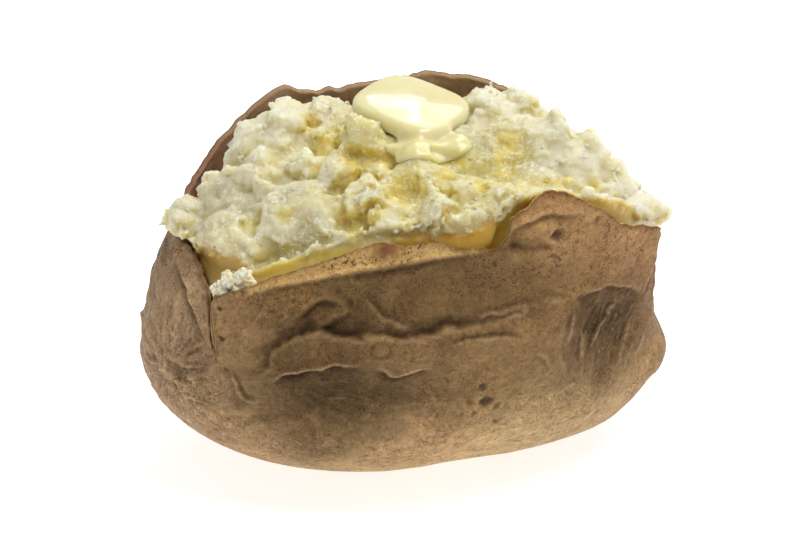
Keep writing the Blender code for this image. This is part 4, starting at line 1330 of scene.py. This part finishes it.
def add_butter(flesh, smooth_heap):
    """The half-melted pat: a sagging slab that runs out into a puddle at the front."""
    field = Field(BUTTER_PLACE - (20, 22, 11), BUTTER_PLACE + (18, 16, 4.75), 0.4)
    places = field.grids()
    a, b, c, back = butter_plan(*places)
    half_a, half_b, half_c = BUTTER_HALF
    flat = (abs(a / half_a) ** SQUARENESS + abs(b / half_b) ** SQUARENESS) ** (1 / SQUARENESS)
    droop = 1 - 0.06 * smoothstep(0, -half_b, back)
    dome = half_c * (2 * droop * (1 - 0.15 * np.minimum(flat, 1) ** 2) - 1)
    edge = (flat - 1) * 0.5 * (half_a + half_b)
    slab = soft_max(soft_max(edge, c - dome, 1.8), -c - half_c, 1.0)
    points = field.points(np.ones(field.shape, bool))
    heap = flesh.sample(points, smooth_heap).reshape(field.shape)
    melt = (from_centre(places, PUDDLE, PUDDLE_HALF) - 1) * 5.0
    ripple = 0.35 * perlin(points, (6, 4, 5), 501).reshape(field.shape)
    puddle = soft_max(heap - 0.85 - ripple, melt, 1.2)
    field.values = soft_min(slab, puddle, 2.2)
    field.values -= 0.07 * perlin(points, 9.0, 503).reshape(field.shape)
    points, quads = field.surface(200, 6, 0.5)
    # Thin where the surface is not much inside the slab, or outside it in the puddle.
    thin = smoothstep(2.5, 0.3, 2.0 - field.sample(points, slab))
    looks = dict(tint=tinted(BUTTER_COLOUR, THIN_COLOUR, thin), thin=thin)
    return make_piece("butter_pat", points, quads, "butter", looks)


# ---------------------------------------------------------------- materials


class Paint:
    """A material's node tree, with short ways to add its nodes."""

    def __init__(self, name):
        self.material = bpy.data.materials.new(name)
        self.material.use_nodes = True
        self.tree = self.material.node_tree
        self.shader = self.tree.nodes["Principled BSDF"]
        self.place = self.tree.nodes.new("ShaderNodeTexCoord").outputs["Object"]

    def node(self, kind, inputs=(), **settings):
        node = self.tree.nodes.new(kind)
        for key, value in settings.items():
            setattr(node, key, value)
        for key, value in dict(inputs).items():
            self.put(node.inputs[key], value)
        return node

    def put(self, socket, value):
        if isinstance(value, bpy.types.NodeSocket):
            self.tree.links.new(value, socket)
        else:
            socket.default_value = value

    def set(self, **values):
        for key, value in values.items():
            self.put(self.shader.inputs[key.replace("_", " ")], value)

    def attribute(self, label, output="Fac"):
        return self.node("ShaderNodeAttribute", attribute_name=label).outputs[output]

    def noise(self, size, detail=3.0, roughness=0.55, distort=0.0):
        """Noise of that feature size in mm."""
        inputs = {"Vector": self.place, "Scale": 1000 / size, "Detail": detail}
        inputs.update({"Roughness": roughness, "Distortion": distort})
        return self.node("ShaderNodeTexNoise", inputs).outputs["Fac"]

    def cells(self, size):
        """Distance to the nearest of scattered points, that many mm apart."""
        inputs = {"Vector": self.place, "Scale": 1000 / size}
        return self.node("ShaderNodeTexVoronoi", inputs).outputs["Distance"]

    def ramp(self, value, low, high, start=0.0, end=1.0):
        """Value's rise from low to high, as a smooth step from start to end."""
        inputs = {"Value": value, 1: low, 2: high, 3: start, 4: end}
        node = self.node("ShaderNodeMapRange", inputs, interpolation_type="SMOOTHSTEP")
        return node.outputs["Result"]

    def math(self, operation, *values):
        return self.node("ShaderNodeMath", enumerate(values), operation=operation).outputs["Value"]

    def times(self, a, b):
        return self.math("MULTIPLY", a, b)

    def mix(self, a, b, share, blend="MIX"):
        node = self.node("ShaderNodeMix", data_type="RGBA", blend_type=blend, clamp_factor=True)
        self.put(node.inputs[0], share)
        for socket, value in ((node.inputs[6], a), (node.inputs[7], b)):
            if not isinstance(value, bpy.types.NodeSocket):
                value = (*value, 1.0)
            self.put(socket, value)
        return node.outputs[2]

    def stain(self, colour, by, share):
        """The colour, multiplied by another one for that share."""
        return self.mix(colour, by, share, "MULTIPLY")

    def bump(self, height, distance, strength, after=None):
        """A bump whose full height is that many mm."""
        inputs = {"Height": height, "Distance": distance / 1000, "Strength": strength}
        if after is not None:
            inputs["Normal"] = after
        return self.node("ShaderNodeBump", inputs).outputs["Normal"]


def skin_material():
    """Baked potato skin: papery, mottled brown, with specks, pale crests, dark scars, painted shade in
    grooves and painted light on ridges.
    """
    paint = Paint("baked skin")
    tint, lining = paint.attribute("tint", "Color"), paint.attribute("lining")
    outside = paint.math("SUBTRACT", 1.0, lining)
    blotch = paint.noise(6.0, 4.0, 0.62, distort=0.5)
    mottle = paint.noise(1.1, 4.0, 0.70, distort=0.4)
    grain = paint.noise(0.42, 2.0, 0.6)
    pores = paint.cells(0.85)
    colour = tint
    for noise, by, low, high, most in (
        (blotch, (0.68, 0.64, 0.58), 0.50, 0.36, 0.50), (blotch, (1.28, 1.27, 1.24), 0.52, 0.66, 0.8),
        (mottle, (0.60, 0.54, 0.46), 0.50, 0.37, 0.50), (mottle, (1.35, 1.33, 1.28), 0.56, 0.66, 0.55),
        (grain, (0.70, 0.65, 0.58), 0.50, 0.36, 0.55),
    ):
        colour = paint.stain(colour, by, paint.ramp(noise, low, high, 0.0, most))
    pore = paint.times(paint.ramp(pores, 0.30, 0.16), paint.ramp(paint.noise(4.0, 2.0), 0.46, 0.56))
    colour = paint.stain(colour, (0.50, 0.42, 0.36), paint.times(pore, 0.8))
    # Reddish brown specks, thickest near the torn edge.
    speck = paint.ramp(paint.noise(0.95, 3.0, 0.6, distort=0.8), 0.53, 0.60)
    group = paint.ramp(paint.noise(7.0, 3.0, 0.55), 0.44, 0.58)
    specks = paint.times(paint.times(speck, group), paint.attribute("speckle"))
    colour = paint.mix(colour, (0.085, 0.028, 0.014), paint.times(specks, 0.80))
    # Fine wandering lines where the skin has dried and puckered.
    puckers = paint.noise(2.6, 3.0, 0.5, distort=1.1)
    line = paint.math("COMPARE", puckers, 0.5, 0.016)
    under = paint.math("COMPARE", puckers, 0.46, 0.022)
    where = paint.ramp(paint.noise(11.0, 2.0), 0.42, 0.58)
    colour = paint.stain(colour, (1.55, 1.48, 1.38), paint.times(paint.times(line, where), 0.55))
    colour = paint.stain(colour, (0.66, 0.60, 0.54), paint.times(paint.times(under, where), 0.60))
    # Pale crests: partly rubbed dry skin, partly painted highlight.
    worn_and_lit_crest = paint.times(paint.attribute("crest"), paint.ramp(mottle, 0.35, 0.6, 0.45, 1.0))
    # Painted shade in the grooves and painted light on the ridges.
    colour = paint.stain(colour, (0.42, 0.35, 0.30), paint.times(paint.attribute("groove_shade"), 0.80))
    colour = paint.stain(colour, (1.45, 1.42, 1.36), paint.times(paint.attribute("ridge"), 0.32))
    colour = paint.mix(colour, (0.50, 0.335, 0.18), paint.times(worn_and_lit_crest, 0.75))
    colour = paint.mix(colour, (0.13, 0.05, 0.022), paint.times(paint.attribute("edge"), 0.55))
    colour = paint.mix(colour, (0.16, 0.045, 0.022), paint.times(paint.attribute("scab"), 0.8))
    scars = paint.times(paint.attribute("dark"), paint.ramp(mottle, 0.62, 0.40, 0.45, 0.88))
    colour = paint.mix(colour, (0.045, 0.034, 0.022), scars)
    lined = paint.stain(tint, (0.75, 0.66, 0.50), paint.ramp(mottle, 0.55, 0.38, 0.0, 0.6))
    colour = paint.mix(colour, lined, paint.ramp(lining, 0.5, 0.9))
    normal = paint.bump(paint.times(paint.noise(0.8, 4.0, 0.65), outside), 0.16, 0.8)
    normal = paint.bump(paint.times(puckers, outside), 0.7, 0.4, normal)
    roughness = paint.ramp(mottle, 0.3, 0.7, 0.66, 0.50)
    paint.set(Base_Color=colour, Roughness=roughness, Normal=normal, Specular_IOR_Level=0.09)
    return paint.material


def flesh_material(name, weight, scale):
    """Cooked potato: pale, crumbly and slightly see-through, golden in the hollows as painted shade, wet
    in places, with painted glints.
    """
    paint = Paint(name)
    tint, wet = paint.attribute("tint", "Color"), paint.attribute("wet")
    cloud = paint.noise(3.2, 3.0, 0.55)
    grain = paint.noise(0.7, 3.0, 0.6)
    colour = paint.stain(tint, (0.97, 0.93, 0.80), paint.ramp(cloud, 0.52, 0.36, 0.0, 0.6))
    colour = paint.mix(colour, (0.80, 0.79, 0.70), paint.ramp(cloud, 0.56, 0.72, 0.0, 0.35))
    colour = paint.stain(colour, (0.92, 0.90, 0.82), paint.ramp(grain, 0.45, 0.3, 0.0, 0.5))
    rough = paint.math("SUBTRACT", 1.0, paint.times(paint.attribute("peeled"), 0.9))
    whiter = paint.times(paint.ramp(grain, 0.55, 0.68, 0.0, 0.25), rough)
    colour = paint.mix(colour, (0.82, 0.81, 0.72), whiter)
    normal = paint.bump(paint.times(paint.noise(1.3, 4.0, 0.65), rough), 0.18, 0.7)
    normal = paint.bump(paint.times(paint.cells(0.6), rough), 0.07, 0.7, normal)
    glint = paint.ramp(paint.noise(1.1, 2.0, 0.5), 0.47, 0.62)
    gloss = paint.times(wet, paint.math("ADD", 0.35, paint.times(glint, 0.65)))
    # Patches of tiny wet facets that catch the light, and are painted whiter as painted glints.
    facets = paint.ramp(paint.noise(0.8, 1.0, 0.5), 0.57, 0.62)
    sparkle = paint.times(facets, paint.ramp(paint.noise(7.0, 2.0), 0.46, 0.56))
    sparkle = paint.times(sparkle, rough)
    colour = paint.mix(colour, (0.93, 0.93, 0.88), paint.times(sparkle, 0.45))
    normal = paint.bump(sparkle, 0.12, 0.8, normal)
    gloss = paint.math("MAXIMUM", gloss, sparkle)
    roughness = paint.ramp(gloss, 0.1, 0.9, 0.50, 0.13)
    paint.set(Base_Color=colour, Roughness=roughness, Normal=normal, Specular_IOR_Level=0.38)
    paint.set(Subsurface_Weight=weight, Subsurface_Radius=(1.0, 0.85, 0.55), Subsurface_Scale=scale)
    return paint.material


def butter_material():
    """Soft, shiny, half-melted butter."""
    paint = Paint("melting butter")
    tint, thin = paint.attribute("tint", "Color"), paint.attribute("thin")
    cloud = paint.noise(6.0, 3.0, 0.5)
    colour = paint.stain(tint, (0.96, 0.92, 0.80), paint.ramp(cloud, 0.58, 0.40, 0.0, 0.7))
    normal = paint.bump(paint.noise(3.5, 2.0, 0.5), 0.06, 0.35)
    roughness = paint.ramp(paint.math("ADD", thin, paint.noise(5.0, 2.0)), 0.3, 1.5, 0.07, 0.045)
    paint.set(Base_Color=colour, Roughness=roughness, Normal=normal, Specular_IOR_Level=0.4)
    paint.set(Subsurface_Weight=0.85, Subsurface_Radius=(1.0, 0.80, 0.36), Subsurface_Scale=0.0045)
    return paint.material


# ---------------------------------------------------------------- stage, light and camera

CAMERA_AZIMUTH, CAMERA_ELEVATION = math.radians(-10), math.radians(28)
CAMERA_DISTANCE = 0.505
CAMERA_TARGET = Vector((0, 0, 0.0453))
# The lens and the width of its picture, in mm.
CAMERA_LENS, CAMERA_WIDTH = 100, 36
TABLE_REACH, TABLE_DROP = 30.0, 0.00005


def add_floor():
    """A plain white table that reaches to the horizon."""
    mesh = bpy.data.meshes.new("floor")
    corners = ((-1, -1), (1, -1), (1, 1), (-1, 1))
    mesh.from_pydata([(x * TABLE_REACH, y * TABLE_REACH, 0) for x, y in corners], [], [(0, 1, 2, 3)])
    floor = new_object("floor", mesh)
    floor.location.z = -TABLE_DROP
    paint = Paint("white table")
    paint.set(Base_Color=(0.72, 0.72, 0.72, 1), Roughness=0.9, Specular_IOR_Level=0.0)
    paint.set(Emission_Color=(1.0, 0.99, 0.985, 1), Emission_Strength=0.74)
    mesh.materials.append(paint.material)


def add_light(name, place, aim, size, power, colour=(1, 1, 1)):
    light = bpy.data.lights.new(name, "AREA")
    light.shape, light.size, light.size_y = "RECTANGLE", size[0], size[1]
    light.energy, light.color = power, colour
    lamp = new_object(name, light)
    lamp.location = place
    direction = Vector(aim) - Vector(place)
    lamp.rotation_euler = direction.to_track_quat("-Z", "Y").to_euler()


def add_world():
    """White as seen by the camera, and a dimmer even light on the object."""
    world = bpy.data.worlds.new("studio")
    bpy.context.scene.world = world
    world.use_nodes = True
    tree = world.node_tree
    background = tree.nodes["Background"]
    background.inputs["Color"].default_value = (1.0, 0.995, 0.985, 1)
    path = tree.nodes.new("ShaderNodeLightPath")
    level = tree.nodes.new("ShaderNodeMapRange")
    tree.links.new(path.outputs["Is Camera Ray"], level.inputs["Value"])
    level.inputs[3].default_value, level.inputs[4].default_value = 0.42, 1.0
    tree.links.new(level.outputs["Result"], background.inputs["Strength"])


def add_camera():
    camera = new_object("camera", bpy.data.cameras.new("camera"))
    camera.data.lens = CAMERA_LENS
    camera.data.sensor_width = CAMERA_WIDTH
    back = Vector((
        math.sin(CAMERA_AZIMUTH) * math.cos(CAMERA_ELEVATION),
        -math.cos(CAMERA_AZIMUTH) * math.cos(CAMERA_ELEVATION),
        math.sin(CAMERA_ELEVATION),
    ))
    camera.location = CAMERA_TARGET + back * CAMERA_DISTANCE
    camera.rotation_euler = (-back).to_track_quat("-Z", "Y").to_euler()
    bpy.context.scene.camera = camera


def add_stage():
    add_floor()
    add_world()
    add_light("softbox", (0.30, 0.40, 0.80), (0, 0, 0.06), (0.66, 0.46), 3.3)
    add_light("window", (0.15, 0.73, 0.69), (0, 0, 0.07), (0.13, 0.20), 0.40)
    add_light("overhead", (0.25, -0.22, 1.0), (0, 0, 0.04), (0.5, 0.4), 5.2, (1, 0.985, 0.96))
    add_camera()
    bpy.context.scene.view_settings.view_transform = "Standard"


def main():
    random = np.random.default_rng(20)
    skin = add_skin()
    heap, field, smooth_heap, points, normals, looks = add_flesh(random)
    base = add_flesh_base()
    crumbs = add_crumbs(points, normals, looks, random)
    clot = add_flap_crumb(random)
    butter = add_butter(field, smooth_heap)
    for material, pieces in (
        (skin_material(), [skin]), (butter_material(), [butter]),
        (flesh_material("mealy flesh", 0.85, 0.006), [heap, base]),
        (flesh_material("loose crumbs", 0.15, 0.0004), [crumbs, clot]),
    ):
        for piece in pieces:
            piece.data.materials.append(material)
    add_stage()


main()
